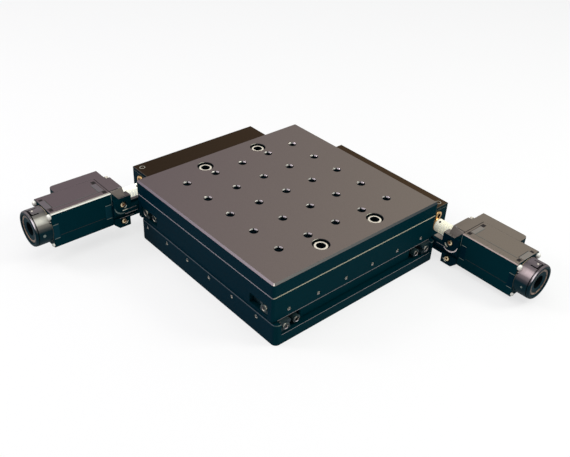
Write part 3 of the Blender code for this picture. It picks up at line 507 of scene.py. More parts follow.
# Counterbore rims: a painted highlight where they look to +X and up, and painted shade where they look to
# -X+Y
RIM = coat("bore_rim", srgb(60, 58, 60), [((0.8, 0, 0.6), 0.90, 0.96, srgb(210, 208, 188)),
                                         ((-0.7, 0.7, 0), 0.2, 0.6, srgb(30, 40, 44))], 0.5)
# Screw heads and plated bolts: upward faces painted lighter as sheen
HEAD = coat("screw_head", srgb(205, 198, 184), [(UP, 0.8, 1.0, srgb(228, 220, 202))], 0.3, 0.5)
BOLT = coat("bolt_plated", srgb(200, 198, 190), [(UP, 0.1, 0.8, srgb(255, 254, 244))], 0.25, 0.6)
# Black, for black parts and dark joints, and as painted shade in bores, counterbores and sockets
BLACK_SHADE = plastic("black_recess_shade", srgb(6, 16, 20), 0.6, 0.05)
SEAM = plastic("seam_shadow", srgb(64, 56, 54), 0.6, 0.05)
SHADE = plastic("window_shade", srgb(46, 42, 42), 0.6, 0.05)
# Painted highlights for the arcs on the brackets' faces, brighter on the x drive
EDGES = {"x": plastic("edge_shine_x", srgb(236, 222, 222), 0.3, 0.4),
         "y": plastic("edge_shine_y", srgb(96, 112, 110), 0.4, 0.2)}
# Painted glints on the bracket's face beside its screws
PALE = plastic("pale_painted_glint", srgb(244, 244, 224), 0.35, 0.3)
# Shoulder slope: faces that look even a little up painted lighter as sheen
SLOPE = coat("shoulder_slope", DARK, [(UP, 0.05, 0.15, srgb(119, 111, 105))], 0.5)
CAP_FACE = plastic("cap_face", srgb(8, 38, 46), 0.5, 0.02)
# Painted highlight for thin ridges and strips along edges
LINE = plastic("lit_edge", srgb(134, 131, 132), 0.4, 0.2)
# Ridges, seams and dimples painted lighter as highlights
RIDGE = plastic("moulded_ridge_highlight", srgb(108, 118, 114), 0.5, 0.1)
# Snap tabs: teal, with painted highlights on the chamfers and a painted sheen on top that grows lighter
# towards +X+Y
TAB = coat("moulded_tab", srgb(10, 48, 58), painted_light_faces(srgb(130, 126, 120), srgb(160, 156, 146),
                                                  srgb(150, 142, 140),
                                                  (RIGHTWARD, -0.15, 0.15, srgb(106, 99, 103),
                                                   srgb(130, 124, 117))), 0.5)
# Speckled brown ring; its upward faces painted lighter as sheen
SPECKLED = coat("speckled_ring", srgb(128, 104, 88), [(UP, 0.2, 0.9, srgb(168, 140, 118))], 0.45, 0.3,
                750.0, 0.95)
STEEL = metal("ground_steel", (0.42, 0.42, 0.43), 0.28)
# Dull steel and dark rail steel: upward faces painted lighter as sheen
DIM = coat("dull_steel", srgb(120, 116, 106), [(UP, 0.8, 1.0, srgb(176, 172, 156))], 0.4, 0.3)
RAIL = coat("rail_steel", srgb(12, 38, 46), [(UP, 0.5, 0.9, srgb(40, 56, 58))], 0.4, 0.15)
# Rail end screws: a bright painted highlight on the rim where it looks up, to +X and -Y, a dimmer one
# beside it, and dark end faces
RAIL_SCREW = coat("rail_screw", srgb(30, 50, 52), [
    ((0.62, -0.5, 0.6), 0.78, 0.95, srgb(255, 246, 220)),
    ((0.5, -0.62, 0.6), 0.90, 0.97, srgb(120, 126, 134)),
    ((1, 0, 0), 0.98, 1.0, srgb(18, 40, 44)),
    ((0, -1, 0), 0.98, 1.0, srgb(14, 38, 46))], 0.35, 0.3)
# Set screws: those that look to -Y painted darker as shade
SET = coat("set_screw", srgb(206, 206, 188), [((0, -1, 0), 0.9, 1.0, srgb(156, 154, 160))], 0.3, 0.4)
# Sockets: black as painted shade, with painted glints where their walls look up to -Y and to +X
SOCKET = coat("lit_socket", srgb(6, 16, 20), [
    (Y_UP, 0.80, 0.95, srgb(255, 244, 224)), (X_UP, 0.80, 0.95, srgb(226, 214, 218))], 0.4, 0.3)
BRASS = metal("brass", (0.68, 0.42, 0.18), 0.26)
PALE_BRASS = metal("pale_brass", (0.88, 0.72, 0.46), 0.25)
# Brass inside the sockets, darker than the heads as painted shade
BRASS_SOCKET = plastic("brass_socket", srgb(150, 94, 56), 0.4, 0.3)
# Brown metal of the cap lips: upward faces painted lighter as sheen, and a painted highlight where they
# look up to the near corner
WARM = coat("brown_metal", srgb(60, 56, 46), [
    (UP, 0.2, 0.6, srgb(128, 106, 80)), (NEAR_UP, 0.80, 0.98, srgb(214, 196, 160))], 0.38, 0.2)
# Ivory acetal that glows as painted light, more on the y coupling, which is also whiter
IVORY = {"x": plastic("ivory_acetal_x", (0.96, 0.94, 0.78), 0.42, 0.4, 0.02, 0.25),
         "y": plastic("ivory_acetal_y", (0.97, 0.97, 0.86), 0.42, 0.4, 0.02, 0.45)}
# Amber core that shows through the coupling's slits as painted shade
SLIT_SHADE = plastic("amber_slit_shade", srgb(128, 98, 46), 0.5, 0.3)
# Dark threads with a painted lighter streak where they look back along AWAY
THREAD = coat("thread_dark", srgb(10, 30, 40), [(AWAY, 0.985, 0.998, srgb(84, 98, 102))], 0.5)


def new_object(name, bm, mat, body, place=None, smooth=None):
    """Turns a bmesh into a piece that rides on a body; place may mirror."""
    bmesh.ops.remove_doubles(bm, verts=bm.verts, dist=1e-7)
    bmesh.ops.recalc_face_normals(bm, faces=bm.faces)
    if place is not None:
        bmesh.ops.transform(bm, verts=bm.verts, matrix=place)
        if place.determinant() < 0:
            bmesh.ops.reverse_faces(bm, faces=bm.faces)
    mesh = bpy.data.meshes.new(name)
    bm.to_mesh(mesh)
    bm.free()
    if smooth is not None:
        for poly in mesh.polygons:
            poly.use_smooth = True
        mesh.set_sharp_from_angle(angle=math.radians(smooth))
    for one in (mat if isinstance(mat, tuple) else (mat,)):
        mesh.materials.append(one)
    obj = bpy.data.objects.new(name, mesh)
    bpy.context.scene.collection.objects.link(obj)
    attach(obj, body)
    return obj


def block(bm, u, v, w, round_off=0.0, steps=2):
    """Box in millimetres, its edges rounded."""
    part = bmesh.new()
    made = bmesh.ops.create_cube(part, size=1.0)["verts"]
    for vert in made:
        vert.co = Vector((u[0] + (vert.co.x + 0.5) * (u[1] - u[0]),
                          v[0] + (vert.co.y + 0.5) * (v[1] - v[0]),
                          w[0] + (vert.co.z + 0.5) * (w[1] - w[0]))) * MM
    if round_off:
        bmesh.ops.bevel(part, geom=part.edges[:], offset=round_off * MM, segments=steps,
                        affect="EDGES", profile=0.5)
    merge(bm, part)


def merge(bm, part):
    """Adds one bmesh to another."""
    mesh = bpy.data.meshes.new("scrap")
    part.to_mesh(mesh)
    part.free()
    bm.from_mesh(mesh)
    bpy.data.meshes.remove(mesh)


def lathe(bm, profile, steps=48, place=None, closed=False):
    """Spins (radius, height) pairs in millimetres about local Z."""
    part = bmesh.new()
    verts = [part.verts.new((r * MM, 0, z * MM)) for r, z in profile]
    pairs = list(zip(verts, verts[1:]))
    if closed:
        pairs.append((verts[-1], verts[0]))
    edges = [part.edges.new(pair) for pair in pairs]
    bmesh.ops.spin(part, geom=verts + edges, cent=(0, 0, 0), axis=(0, 0, 1), angle=TAU,
                   steps=steps, use_merge=True)
    bmesh.ops.remove_doubles(part, verts=part.verts, dist=1e-7)
    bmesh.ops.recalc_face_normals(part, faces=part.faces)
    if place is not None:
        bmesh.ops.transform(part, verts=part.verts, matrix=place)
    merge(bm, part)


def at(x, y, z):
    """Move to a place in millimetres."""
    return Matrix.Translation(Vector((x, y, z)) * MM)


def facing(direction):
    """Turns local +Z to a direction."""
    return Vector(direction).to_track_quat("Z", "Y").to_matrix().to_4x4()


def socket_head(bm, place, head_d, head_h, hex_af, hex_deep, edge=0.35, steps=40):
    """Socket screw head: chamfered cylinder from zero up, its hexagon socket in the second finish."""
    r = head_d / 2
    lead_in = 0.15
    mouth = hex_af / math.sqrt(3) + lead_in
    count = 48
    lathe(bm, [(0, 0), (r, 0), (r, head_h - edge), (r - 0.3 * edge, head_h - 0.3 * edge),
               (r - edge, head_h), (mouth, head_h)], steps, place)
    part = bmesh.new()
    rings = []
    for round_mouth, depth in ((True, 0), (False, lead_in), (False, hex_deep)):
        ring = []
        for i in range(count):
            a = TAU * i / count
            flat = hex_af / 2 / math.cos((a % (TAU / 6)) - TAU / 12)
            reach = mouth if round_mouth else flat
            ring.append(part.verts.new((reach * math.cos(a) * MM, reach * math.sin(a) * MM,
                                        (head_h - depth) * MM)))
        rings.append(ring)
    floor = part.verts.new((0, 0, (head_h - hex_deep - 0.3) * MM))
    for i in range(count):
        j = (i + 1) % count
        made = [part.faces.new((rings[0][i], rings[0][j], rings[1][j], rings[1][i])),
                part.faces.new((rings[1][i], rings[1][j], rings[2][j], rings[2][i])),
                part.faces.new((rings[2][i], rings[2][j], floor))]
        for face in made:
            face.material_index = 1
    bmesh.ops.recalc_face_normals(part, faces=part.faces)
    bmesh.ops.transform(part, verts=part.verts, matrix=place)
    merge(bm, part)


def coil(bm, place, outer, inner, pitch, length, per_turn=24):
    """Thread ridge wound inside a hole, from zero down."""
    turns = length / pitch
    count = int(turns * per_turn)
    part = bmesh.new()
    rows = []
    for i in range(count + 1):
        a = TAU * i / per_turn
        z = -pitch * i / per_turn
        row = []
        for r, dz in ((outer, -0.42), (inner, -0.06), (inner, 0.06), (outer, 0.42)):
            row.append(part.verts.new((r * math.cos(a) * MM, r * math.sin(a) * MM,
                                       (z + dz * pitch) * MM)))
        rows.append(row)
    for a, b in zip(rows, rows[1:]):
        for i in range(3):
            part.faces.new((a[i], a[i + 1], b[i + 1], b[i]))
    bmesh.ops.recalc_face_normals(part, faces=part.faces)
    bmesh.ops.transform(part, verts=part.verts, matrix=place)
    merge(bm, part)


def dress_nodes():
    """Gives every CAD node that stays its finish."""
    for name, obj in NODES.items():
        if name == "top_plate":
            mat = PLATE
        elif name == "table_frame":
            mat = FRAME
        elif name.endswith("_bracket"):
            mat = BRACKETS[name[0]]
        elif "housing" in name:
            mat = BROWN
        elif name.endswith(("_motor", "_connector")):
            mat = MOULD
        elif name.endswith("end_cap"):
            mat = CAPS[name[0]]
        elif "rail" in name:
            mat = RAIL
        elif name.endswith(("ball_screw", "motor_shaft", "ball_nut", "bearing")):
            mat = STEEL
        elif "cage" in name or "lock_nut" in name or "bracket_screw" in name:
            mat = BRASS
        elif "coupling" in name:
            mat = IVORY[name[0]]
        else:
            mat = BODY
        obj.data.materials.clear()
        obj.data.materials.append(mat)


def grid_places():
    """Centres of the tapped holes, in millimetres."""
    middle = (GRID_N - 1) / 2
    return [(TABLE_X / MM + (i - middle) * GRID, (j - middle) * GRID)
            for i in range(GRID_N) for j in range(GRID_N)]


def bolt_places():
    """Centres of the four counterbores, in millimetres."""
    return [(TABLE_X / MM + x, y) for x in (-BOLT_X, BOLT_X) for y in (-BOLT_Y, BOLT_Y)]


def build_table_screws():
    """Socket heads of the four bolts that hold the plate."""
    for index, (x, y) in enumerate(bolt_places(), start=1):
        bm = bmesh.new()
        seat = at(x, y, PLATE_HIGH[2] / MM - BOLT_SINK - BOLT_HEAD_H)
        socket_head(bm, seat, BOLT_HEAD_D, BOLT_HEAD_H, BOLT_HEX, BOLT_HEX_DEEP, 0.5, 64)
        lathe(bm, [(0, -BOLT_LEN), (BOLT_R - 0.4, -BOLT_LEN), (BOLT_R, 0.4 - BOLT_LEN),
                   (BOLT_R, SHANK_OVERLAP)], 32, seat)
        piece = new_object(f"table_bolt_{index}", bm, (HEAD, BLACK_SHADE), "table", None, 35)
        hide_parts(f"table_screw_{index}")


def build_holes():
    """Countersunk rims and threads of the 25 tapped holes, the rims with painted glints and the threads
    with a painted streak.
    """
    threads = bmesh.new()
    rims = bmesh.new()
    top = PLATE_HIGH[2] / MM
    for x, y in grid_places():
        coil(threads, at(x, y, top - THREAD_FROM), TAP_R, THREAD_R, THREAD_PITCH, THREAD_LEN)
        lathe(rims, [(SINK_R, -0.02), (THREAD_R, -CONE_DEEP), (THREAD_R, -1.5), (TAP_R, -1.6),
                     (TAP_R, -SINK_DEEP), (SINK_R, -0.1)], 32, at(x, y, top), True)
    new_object("hole_threads", threads, THREAD, "table", None, 50)
    new_object("hole_rims", rims, GLINT, "table", None, 40)


def build_plate():
    """The plate with wider counterbores; in each a dark wall as painted shade, and a broken edge with a
    painted highlight.
    """
    mesh = NODES["top_plate"].data.copy()
    piece = bpy.data.objects.new("table_plate", mesh)
    bpy.context.scene.collection.objects.link(piece)
    piece.matrix_world = NODES["top_plate"].matrix_world.copy()
    top = PLATE_HIGH[2] / MM
    skin = BORE_R - BORE_SKIN
    cuts = bmesh.new()
    walls = bmesh.new()
    rims = bmesh.new()
    for x, y in bolt_places():
        seat = at(x, y, top)
        lathe(cuts, [(0, -BORE_DEEP), (BORE_R, -BORE_DEEP), (BORE_R, 1), (0, 1)], 64, seat)
        lathe(walls, [(BORE_R, -0.22), (skin, -0.22), (skin, 0.1 - BORE_DEEP),
                      (BOLT_R + 0.2, 0.1 - BORE_DEEP), (BOLT_R + 0.2, -BORE_DEEP),
                      (BORE_R, -BORE_DEEP)], 64, seat, True)
        lathe(rims, [(BORE_R, -0.01), (BORE_R - 0.24, -0.2), (BORE_R, -0.2)], 64, seat, True)
    for x, y in grid_places():
        lathe(cuts, [(0, -SINK_DEEP), (TAP_R, -SINK_DEEP), (SINK_R, 0), (SINK_R, 1), (0, 1)], 32,
              at(x, y, top))
    cut_with(piece, cuts, Matrix.Identity(4))
    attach(piece, "table")
    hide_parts("top_plate")
    new_object("counterbore_walls_shade", walls, BLACK_SHADE, "table", None, 40)
    new_object("counterbore_rims", rims, RIM, "table", None, 40)


def set_screw_row(name, body, places, look):
    """Row of set screws with their hexagons, just under the face that they look out of."""
    bm = bmesh.new()
    for place in places:
        socket_head(bm, at(*place) @ facing(look), SET_D, SET_LEN, SET_HEX, 1.0, 0.3, 24)
    new_object(name, bm, (SET, SOCKET), body, None, 35)


def build_set_screws():
    """Rail set screws in the base's and the frame's walls."""
    row = [(i - (SET_N - 1) / 2) * RAIL_PITCH for i in range(SET_N)]
    inset = HALF_SIDE - SET_SUNK - SET_LEN
    z = BASE_HIGH[2] / MM - SET_BELOW_BASE_TOP
    for name, side in (("front", -1), ("back", 1)):
        shift = SET_SHIFT_X if side < 0 else 0
        set_screw_row(f"base_set_screws_{name}", "base", [(x + shift, side * inset, z) for x in row],
                      (0, side, 0))
    z = FRAME_LOW[2] / MM + SET_ABOVE_FRAME_LOW
    for name, side in (("right", 1), ("left", -1)):
        set_screw_row(f"frame_set_screws_{name}", "table",
                      [(TABLE_X / MM + side * inset, y, z) for y in row], (side, 0, 0))


def build_coupling(tag):
    """Slit coupling: plastic sleeve with fine cuts from alternate sides and set-screw holes, glowing as
    painted light, with an amber core as painted shade in the slits.
    """
    bm = bmesh.new()
    place = DRIVES[tag]
    start = at(COUPLING_FROM, 0, 0) @ facing((1, 0, 0))
    r = COUPLING_D / 2
    inner = JOURNAL_D / 2 + 0.3
    lathe(bm, [(inner, 0), (r - COUPLING_EDGE, 0), (r, COUPLING_EDGE), (r, COUPLING_LEN - COUPLING_EDGE),
               (r - COUPLING_EDGE, COUPLING_LEN), (inner, COUPLING_LEN)], 96, start, True)
    piece = new_object(f"{tag}_coupling_sleeve", bm, IVORY[tag], SPIN[tag], place, 40)
    cuts = bmesh.new()
    beyond = 12.0
    for i in range(SLIT_N):
        u = COUPLING_FROM + COUPLING_LEN / 2 + (i - (SLIT_N - 1) / 2) * SLIT_PITCH
        side = 1 if i % 2 else -1
        low, high = sorted((side * beyond, -side * SLIT_PAST_AXIS))
        block(cuts, (u - SLIT_HALF, u + SLIT_HALF), (low, high), (-beyond, beyond))
    clamps = [at(u, 0, 0) @ Matrix.Rotation(math.radians(CLAMP_TURN), 4, "X")
              for u in (COUPLING_FROM + CLAMP_FROM_END, COUPLING_FROM + COUPLING_LEN - CLAMP_FROM_END)]
    for clamp in clamps:
        lathe(cuts, [(0, 2.9), (1.0, 2.9), (1.0, 8), (0, 8)], 24, clamp)
    cut_with(piece, cuts, place)
    # Amber core inside the sleeve, painted shade seen through the slits
    core = bmesh.new()
    lathe(core, [(inner + 0.1, 3.6), (r - 0.7, 3.6), (r - 0.7, COUPLING_LEN - 3.6),
                 (inner + 0.1, COUPLING_LEN - 3.6)], 48, start, True)
    new_object(f"{tag}_coupling_slit_shade", core, SLIT_SHADE, SPIN[tag], place, 40)
    screws = bmesh.new()
    for clamp in clamps:
        socket_head(screws, clamp @ at(0, 0, 3.9), 1.9, 0.7, 0.8, 0.4, 0.1, 24)
    new_object(f"{tag}_coupling_screws", screws, (BLACK_SHADE, BLACK_SHADE), SPIN[tag], place, 35)
    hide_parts(f"{tag}_coupling")


def cut_with(piece, cuts, place, crossing=False):
    """Cuts a piece with the solids in a bmesh, which may cross each other, and applies the cut."""
    bmesh.ops.transform(cuts, verts=cuts.verts, matrix=place)
    bmesh.ops.recalc_face_normals(cuts, faces=cuts.faces)
    mesh = bpy.data.meshes.new("cut")
    cuts.to_mesh(mesh)
    cuts.free()
    tool = bpy.data.objects.new("cut", mesh)
    bpy.context.scene.collection.objects.link(tool)
    step = piece.modifiers.new("cut", "BOOLEAN")
    step.operation = "DIFFERENCE"
    step.solver = "EXACT"
    step.use_self = crossing
    step.object = tool
    with bpy.context.temp_override(object=piece, active_object=piece, selected_objects=[piece]):
        bpy.ops.object.modifier_apply(modifier=step.name)
    bpy.data.objects.remove(tool)
    bpy.data.meshes.remove(mesh)


def build_motor_detail(tag):
    """Snap tabs and their windows, ridges, seams, hooks and the joint of the motor case; ridges painted
    lighter as highlights, windows dark as painted shade.
    """
    place = DRIVES[tag]
    body = STATOR[tag]
    top = MOTOR_H / 2
    side = MOTOR_W / 2
    tabs = bmesh.new()
    for u, v in LID_TABS:
        block(tabs, u, v, (top - 0.2, top + 0.25), 0.12)
    for u in SIDE_TABS:
        block(tabs, u, (-side - 0.12, -side + 0.2), (SIDE_TAB_LOW, SIDE_TAB_TOP), 0.08)
        block(tabs, u, (side - 0.2, side + 0.12), (SIDE_TAB_LOW, SIDE_TAB_TOP), 0.08)
    new_object(f"{tag}_motor_tabs", tabs, TAB, body, place)
    ridges = bmesh.new()
    for u in SIDE_RIDGES:
        for w in (SIDE_TAB_TOP, SIDE_TAB_LOW - 0.2):
            block(ridges, u, (-side - 0.3, -side + 0.1), (w - 0.17, w + 0.17), 0.08)
            block(ridges, u, (side - 0.1, side + 0.3), (w - 0.17, w + 0.17), 0.08)
    block(ridges, (MOTOR_FROM - 0.05, MOTOR_FROM + 0.2), (-side - 0.04, -side + 0.3), (3.0, 12.5))
    for u, v, proud in LID_RIDGES:
        block(ridges, u, v, (top - 0.1, top + proud))
    new_object(f"{tag}_motor_ridges", ridges, RIDGE, body, place)
    dark = bmesh.new()
    block(dark, (MOTOR_FROM - 0.1, MOTOR_FROM + 0.5), (-side + 0.3, 11.2), (top - 0.3, top + 0.03))
    for u, v in LID_WINDOWS:
        block(dark, u, v, (top - 0.3, top + 0.03))
    new_object(f"{tag}_motor_windows", dark, SHADE, body, place)
    seams = bmesh.new()
    for u, v in LID_SEAMS:
        block(seams, u, v, (top - 0.3, top + 0.04))
    block(seams, *LID_SEAM_LONG, (top - 0.3, top + 0.03))
    for v in (-side - 0.03, side + 0.03 - 0.3):
        block(seams, CASE_SEAM_U, (v, v + 0.3), (CASE_SEAM_W - 0.1, CASE_SEAM_W + 0.1))
    new_object(f"{tag}_motor_seams", seams, SEAM, body, place)
    hooks = bmesh.new()
    for v in HOOK_V:
        block(hooks, (MOTOR_TO, MOTOR_TO + 1.2), (v - 1.2, v + 1.2), (5.4, 7.6), 0.3)
    new_object(f"{tag}_motor_hooks", hooks, MOULD, body, place, 40)
    joint = bmesh.new()
    block(joint, JOINT_U, (11.4, 13.2), (12.2, top + 0.01))
    new_object(f"{tag}_connector_joint", joint, MOULD, body, place)


def build_motor_bolts(tag):
    """Plated bolts in the motor's rear corners, and one in front of its shoulder."""
    place = DRIVES[tag]
    body = STATOR[tag]
    out = facing((1, 0, 0))
    bolts = bmesh.new()
    for v, w in REAR_BOLTS:
        lathe(bolts, [(0, 0), (1.8, 0), (2.0, 0.4), (2.0, 1.3), (1.7, 1.9), (1.0, 2.3), (0, 2.4)], 32,
              at(MOTOR_TO, v, w) @ out)
    for v, w in REAR_SCREWS:
        lathe(bolts, [(0, 0), (1.2, 0), (1.3, 0.3), (1.3, 1.0), (0.9, 1.5), (0, 1.6)], 32,
              at(MOTOR_TO, v, w) @ out)
    new_object(f"{tag}_motor_bolts", bolts, BOLT, body, place, 50)
    front = bmesh.new()
    lathe(front, [(0, 0), (1.6, 0), (1.6, 1.8), (1.2, 2.3), (0, 2.5)], 32,
          at(*FRONT_BOLT) @ facing((-1, 0, 0)))
    new_object(f"{tag}_front_bolt", front, HEAD, body, place, 50)


def paint_cap(piece, place):
    """Picks the finish of each face of a cap by its radius and its depth behind the front: black as painted
    shade in the bore and the grooves, the speckled ring, and the dark face.
    """
    r = CAP_D / 2
    black, speckled, face = 1, 2, 3
    for poly in piece.data.polygons:
        local = place.inverted() @ poly.center / MM
        radius = math.hypot(local.y, local.z)
        depth = CAP_FROM + CAP_LEN - local.x
        if radius < 5.4 and depth > 1.2:
            poly.material_index = black
        elif 8.4 < radius < 9.8 and 0.5 < depth < 0.9:
            poly.material_index = speckled
        elif radius < r - 2.3 and depth < 1.3:
            poly.material_index = face
        elif radius < r - 0.3 and 1.5 < depth < 10.5 or radius < r - 0.4 and 1.6 < depth < 2.05:
            poly.material_index = black


def build_cap(tag):
    """Round rear cap: cylinder, groove, rounded front ring, stepped recess and a clip on top."""
    place = DRIVES[tag]
    body = STATOR[tag]
    r = CAP_D / 2
    end = CAP_LEN
    turn = at(CAP_FROM, 0, 0) @ facing((1, 0, 0))
    profile = [(0, 0), (r - 0.2, 0), (r, 0.2), (r, 9.7), (r - 0.15, 9.85), (r - 0.6, 9.9), (r - 0.6, 10.4),
               (r - 0.1, 10.45)]
    steps = 7
    for k in range(1, steps + 1):
        a = math.radians(90 * k / steps)
        profile.append((r - 0.1 - CAP_ROUND * (1 - math.cos(a)), end - CAP_ROUND + CAP_ROUND * math.sin(a)))
    profile += [(r - 2.4, end), (r - 2.7, end - 0.3), (r - 2.9, end - 0.9), (9.9, end - 1.0),
                (9.6, end - 0.7), (8.6, end - 0.7), (8.3, end - 1.0), (6.0, end - 1.1),
                (5.0, end - 1.4), (4.8, end - CAP_DEEP), (0, end - CAP_DEEP)]
    bm = bmesh.new()
    lathe(bm, profile, 96, turn)
    piece = new_object(f"{tag}_cap_shell", bm, (CAPS[tag], BLACK_SHADE, SPECKLED, CAP_FACE), body, place, 32)
    cuts = bmesh.new()
    for u, v in CLIP_GROOVES:
        block(cuts, u, v, (r - 2.4, r + 1))
    cut_with(piece, cuts, place, True)
    paint_cap(piece, place)
    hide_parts(f"{tag}_end_cap")
    extra = bmesh.new()
    lathe(extra, [(0, 0), (0.75, 0), (0.75, 0.25), (0.5, 0.5), (0, 0.6)], 24, at(*CLIP_SCREW, r - 0.25))
    new_object(f"{tag}_cap_screw", extra, HEAD, body, place, 40)
    seam = bmesh.new()
    block(seam, *CLIP_SEAM, (r - 1.0, r - 0.08))
    new_object(f"{tag}_cap_seam", seam, BLACK_SHADE, body, place)
    dot = bmesh.new()
    wide = DIMPLE_R[tag]
    lathe(dot, [(0, -0.3), (wide, -0.3), (wide, 0.12), (wide - 0.35, 0.25), (0, 0.25)], 24,
          at(DIMPLE[0], -r, DIMPLE[1]) @ facing((0, -1, 0)))
    new_object(f"{tag}_cap_dimple", dot, RIDGE, body, place, 40)
    lip = bmesh.new()
    lathe(lip, [(r - 0.5, 0), (r - 0.12, 0), (r, 0.15), (r - 0.12, 0.28), (r - 0.5, 0.28)], 96,
          at(MOTOR_TO, 0, 0) @ facing((1, 0, 0)), True)
    new_object(f"{tag}_cap_lip", lip, WARM, body, place, 40)


def build_drive_screws(tag):
    """Brass bracket screws, the brass screw in the housing's end and the screw of its cover."""
    place = DRIVES[tag]
    body = STATOR[tag]
    for i, (w, wide) in enumerate(zip(CHEEK_SCREW_W, CHEEK_SCREW_D), start=1):
        bm = bmesh.new()
        seat = at(CHEEK_SCREW_U, BRACKET_FACE + 1.5, w) @ facing((0, -1, 0))
        socket_head(bm, seat, wide, 2.6, 1.5, 1.2, 0.5, 40)
        lathe(bm, [(0, -CHEEK_SCREW_LEN), (1.3, -CHEEK_SCREW_LEN), (1.5, 0.2 - CHEEK_SCREW_LEN),
                   (1.5, SHANK_OVERLAP)], 24, seat)
        piece = new_object(f"{tag}_cheek_screw_{i}", bm, (PALE_BRASS, BRASS_SOCKET), body, place, 35)
        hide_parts(f"{tag}_bracket_screw_{i}")
    bm = bmesh.new()
    socket_head(bm, at(BOX_END, *END_SCREW) @ facing((1, 0, 0)), 6.6, 1.6, 2.8, 1.2, 0.5, 40)
    new_object(f"{tag}_housing_end_screw", bm, (BRASS, BLACK_SHADE), body, place, 35)
    bm = bmesh.new()
    socket_head(bm, at(*COVER_SCREW, BOX_TOP - 0.35), 4.4, 0.45, 2.6, 0.3, 0.15, 40)
    new_object(f"{tag}_cover_screw", bm, (DIM, BLACK_SHADE), body, place, 35)


def arc(bm, centre, radius, tube, first, last, v, steps=24):
    """Thin rounded ridge along an arc of the (u, w) plane, its ends closed."""
    part = bmesh.new()
    rings = []
    for i in range(steps + 1):
        a = math.radians(first + (last - first) * i / steps)
        taper = max(0.25, math.sin(math.pi * (i + 0.5) / (steps + 1)) ** 0.5)
        ring = []
        for k in range(6):
            b = TAU * k / 6
            reach = radius + tube * taper * math.cos(b)
            ring.append(part.verts.new(((centre[0] + reach * math.cos(a)) * MM,
                                        (v + 0.3 * tube * math.sin(b)) * MM,
                                        (centre[1] + reach * math.sin(a)) * MM)))
        rings.append(ring)
    for a, b in zip(rings, rings[1:]):
        for k in range(6):
            part.faces.new((a[k], a[(k + 1) % 6], b[(k + 1) % 6], b[k]))
    part.faces.new(rings[0])
    part.faces.new(rings[-1][::-1])
    merge(bm, part)


def build_bracket_top(tag):
    """Top of the cheek, the tab under the coupling, and the shoulder's slanted corner."""
    place = DRIVES[tag]
    body = STATOR[tag]
    near, high, soft = TAB_UNDER_COUPLING[tag]
    cover_w = (CHEEK_TOP - 0.6, CHEEK_TOP + 0.3)
    cover = bmesh.new()
    block(cover, CHEEK_U, (-13.9, -9.1), cover_w, 0.1)
    block(cover, CHEEK_REAR_U, (-13.9, -10.1), cover_w, 0.1)
    block(cover, TAB_U, (near, -7.6), (-1.4, high), soft)
    new_object(f"{tag}_cheek_cover", cover, BRACKETS[tag], body, place)
    filler = bmesh.new()
    block(filler, (CHEEK_REAR_U[1] - 0.2, SHOULDER_U[1]), (-14.52, -10.1), (-5.0, CHEEK_TOP))
    new_object(f"{tag}_cheek_filler", filler, FRAME, body, place)
    wedge = bmesh.new()
    low, high = SHOULDER_U
    top = MOTOR_H / 2 - 0.3
    for u, v, w in ((low, -9.8, top), (high, -12.0, top - 0.2),
                    (CHEEK_REAR_U[1], -13.4, CHEEK_TOP + 0.2), (low, -13.4, CHEEK_TOP + 0.2),
                    (low, -9.1, CHEEK_TOP), (high, -9.1, CHEEK_TOP), (low, -9.1, top),
                    (high, -9.1, top), (high, -12.0, CHEEK_TOP)):
        wedge.verts.new((u * MM, v * MM, w * MM))
    bmesh.ops.convex_hull(wedge, input=wedge.verts)
    new_object(f"{tag}_shoulder_slope", wedge, SLOPE, body, place)
    # Thin strip along the slope's upper edge, painted as a highlight
    rim = bmesh.new()
    block(rim, (low, high - 0.1), (-9.9, -9.4), (top - 0.05, top + 0.25), 0.08)
    new_object(f"{tag}_shoulder_rim", rim, LINE, body, place)


def build_bracket_ridges(tag):
    """Fine ridges of the bracket's face painted bright as highlights and glints, and the seam of the
    housing's cover, painted lighter as a highlight.
    """
    place = DRIVES[tag]
    body = STATOR[tag]
    face = BRACKET_FACE - BOSS_OUT - 0.05
    bright = bmesh.new()
    faint = bmesh.new()
    pale = bmesh.new()
    first, pale_r = {"x": (-125, 4.3), "y": (-95, 3.2)}[tag]
    upper, lower = [(CHEEK_SCREW_U, w) for w in CHEEK_SCREW_W]
    arc(bright, upper, 7.1, 0.55, first, -8, face)
    arc(pale, upper, pale_r, 0.32, 205, 256, face)
    arc(pale, lower, 3.7, 0.32, 203, 260, BRACKET_FACE - 0.1)
    if tag == "y":
        block(pale, (84.5, 88.3), (face - 0.1, face + 0.6), (-2.9, -2.4), 0.1)
        block(faint, (77.0, 84.6), (face - 0.05, face + 0.6), (-2.9, -2.5), 0.1)
        block(faint, (76.0, 86.5), (face - 0.1, face + 0.6), (-6.3, -5.9), 0.1)
        block(faint, (79.0, 90.4), (BRACKET_FACE - 0.15, BRACKET_FACE + 0.3), (-9.5, -9.1), 0.1)
    else:
        block(faint, (76.6, 84.8), (face - 0.1, face + 0.6), (-3.4, -2.9), 0.1)
    new_object(f"{tag}_bracket_glint", pale, PALE, body, place, 40)
    new_object(f"{tag}_bracket_edge", bright, EDGES[tag], body, place, 40)
    new_object(f"{tag}_bracket_ridges", faint, LINE, body, place, 40)
    seam = bmesh.new()
    block(seam, (BOX_END - 0.2, BOX_END + 0.04), (-BOX_IN + 0.4, BOX_OUT - 0.4), COVER_SEAM_W)
    new_object(f"{tag}_cover_seam", seam, RIDGE, body, place)


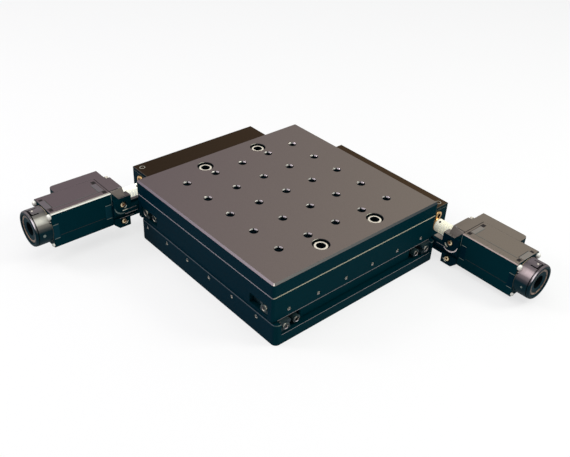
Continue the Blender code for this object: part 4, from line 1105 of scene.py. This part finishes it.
def build_rail_ends():
    """End screws of the rails: the outer ones stand proud, the inner ones sit on short stubs.

    One inner rail lies deep in its pocket and has none.
    """
    for name in NODES:
        if "_rail_" not in name or name == "y_rail_inner_right":
            continue
        low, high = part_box(name)
        inner = "inner" in name
        across = 0 if name[0] == "x" else 1
        centre = [(a + b) / 2 / MM for a, b in zip(low, high)]
        wide, edge, proud = (4.6, 0.35, 0.5) if inner else (5.6, 0.55, 0.9)
        bm = bmesh.new()
        for end, way in ((low, -1), (high, 1)):
            spot = list(centre)
            spot[across] = end[across] / MM
            look = [0, 0, 0]
            look[across] = way
            if inner:
                reach = STUB_END - abs(spot[across])
                lathe(bm, [(0, -0.2), (STUB_R, -0.2), (STUB_R, reach), (0, reach)], 32,
                      at(*spot) @ facing(look))
                spot[across] = way * STUB_END
            socket_head(bm, at(*spot) @ facing(look), wide, proud, END_SCREW_HEX, 0.45, edge, 40)
        body = "middle" if inner else ("base" if across == 0 else "table")
        new_object(f"{name}_ends", bm, (RAIL_SCREW, SOCKET), body, None, 35)


def build_edge_lines():
    """Thin strips painted as lit edges along the lower rim of the frame and of the base."""
    frame_line = bmesh.new()
    x = FRAME_HIGH[0] / MM
    z = FRAME_LOW[2] / MM
    block(frame_line, (x - 0.2, x + 0.06), (-72.0, 72.0), (z + 0.05, z + 0.4), 0.05)
    new_object("frame_lower_edge", frame_line, LINE, "table")
    base_line = bmesh.new()
    x = BASE_HIGH[0] / MM
    block(base_line, (x - 0.2, x + 0.04), (-70.9, 70.9), (7.35, 7.7), 0.05)
    block(base_line, (x - 2.6, x - 2.0), (-71.0, -63.6), (15.8, 16.15), 0.05)
    new_object("base_lower_edge", base_line, LINE, "base")


build_camera()
build_stage()
dress_nodes()
build_plate()
build_table_screws()
build_holes()
build_set_screws()
build_rail_ends()
build_edge_lines()
for drive in ("x", "y"):
    build_coupling(drive)
    build_motor_detail(drive)
    build_motor_bolts(drive)
    build_cap(drive)
    build_bracket_top(drive)
    build_bracket_ridges(drive)
    build_drive_screws(drive)
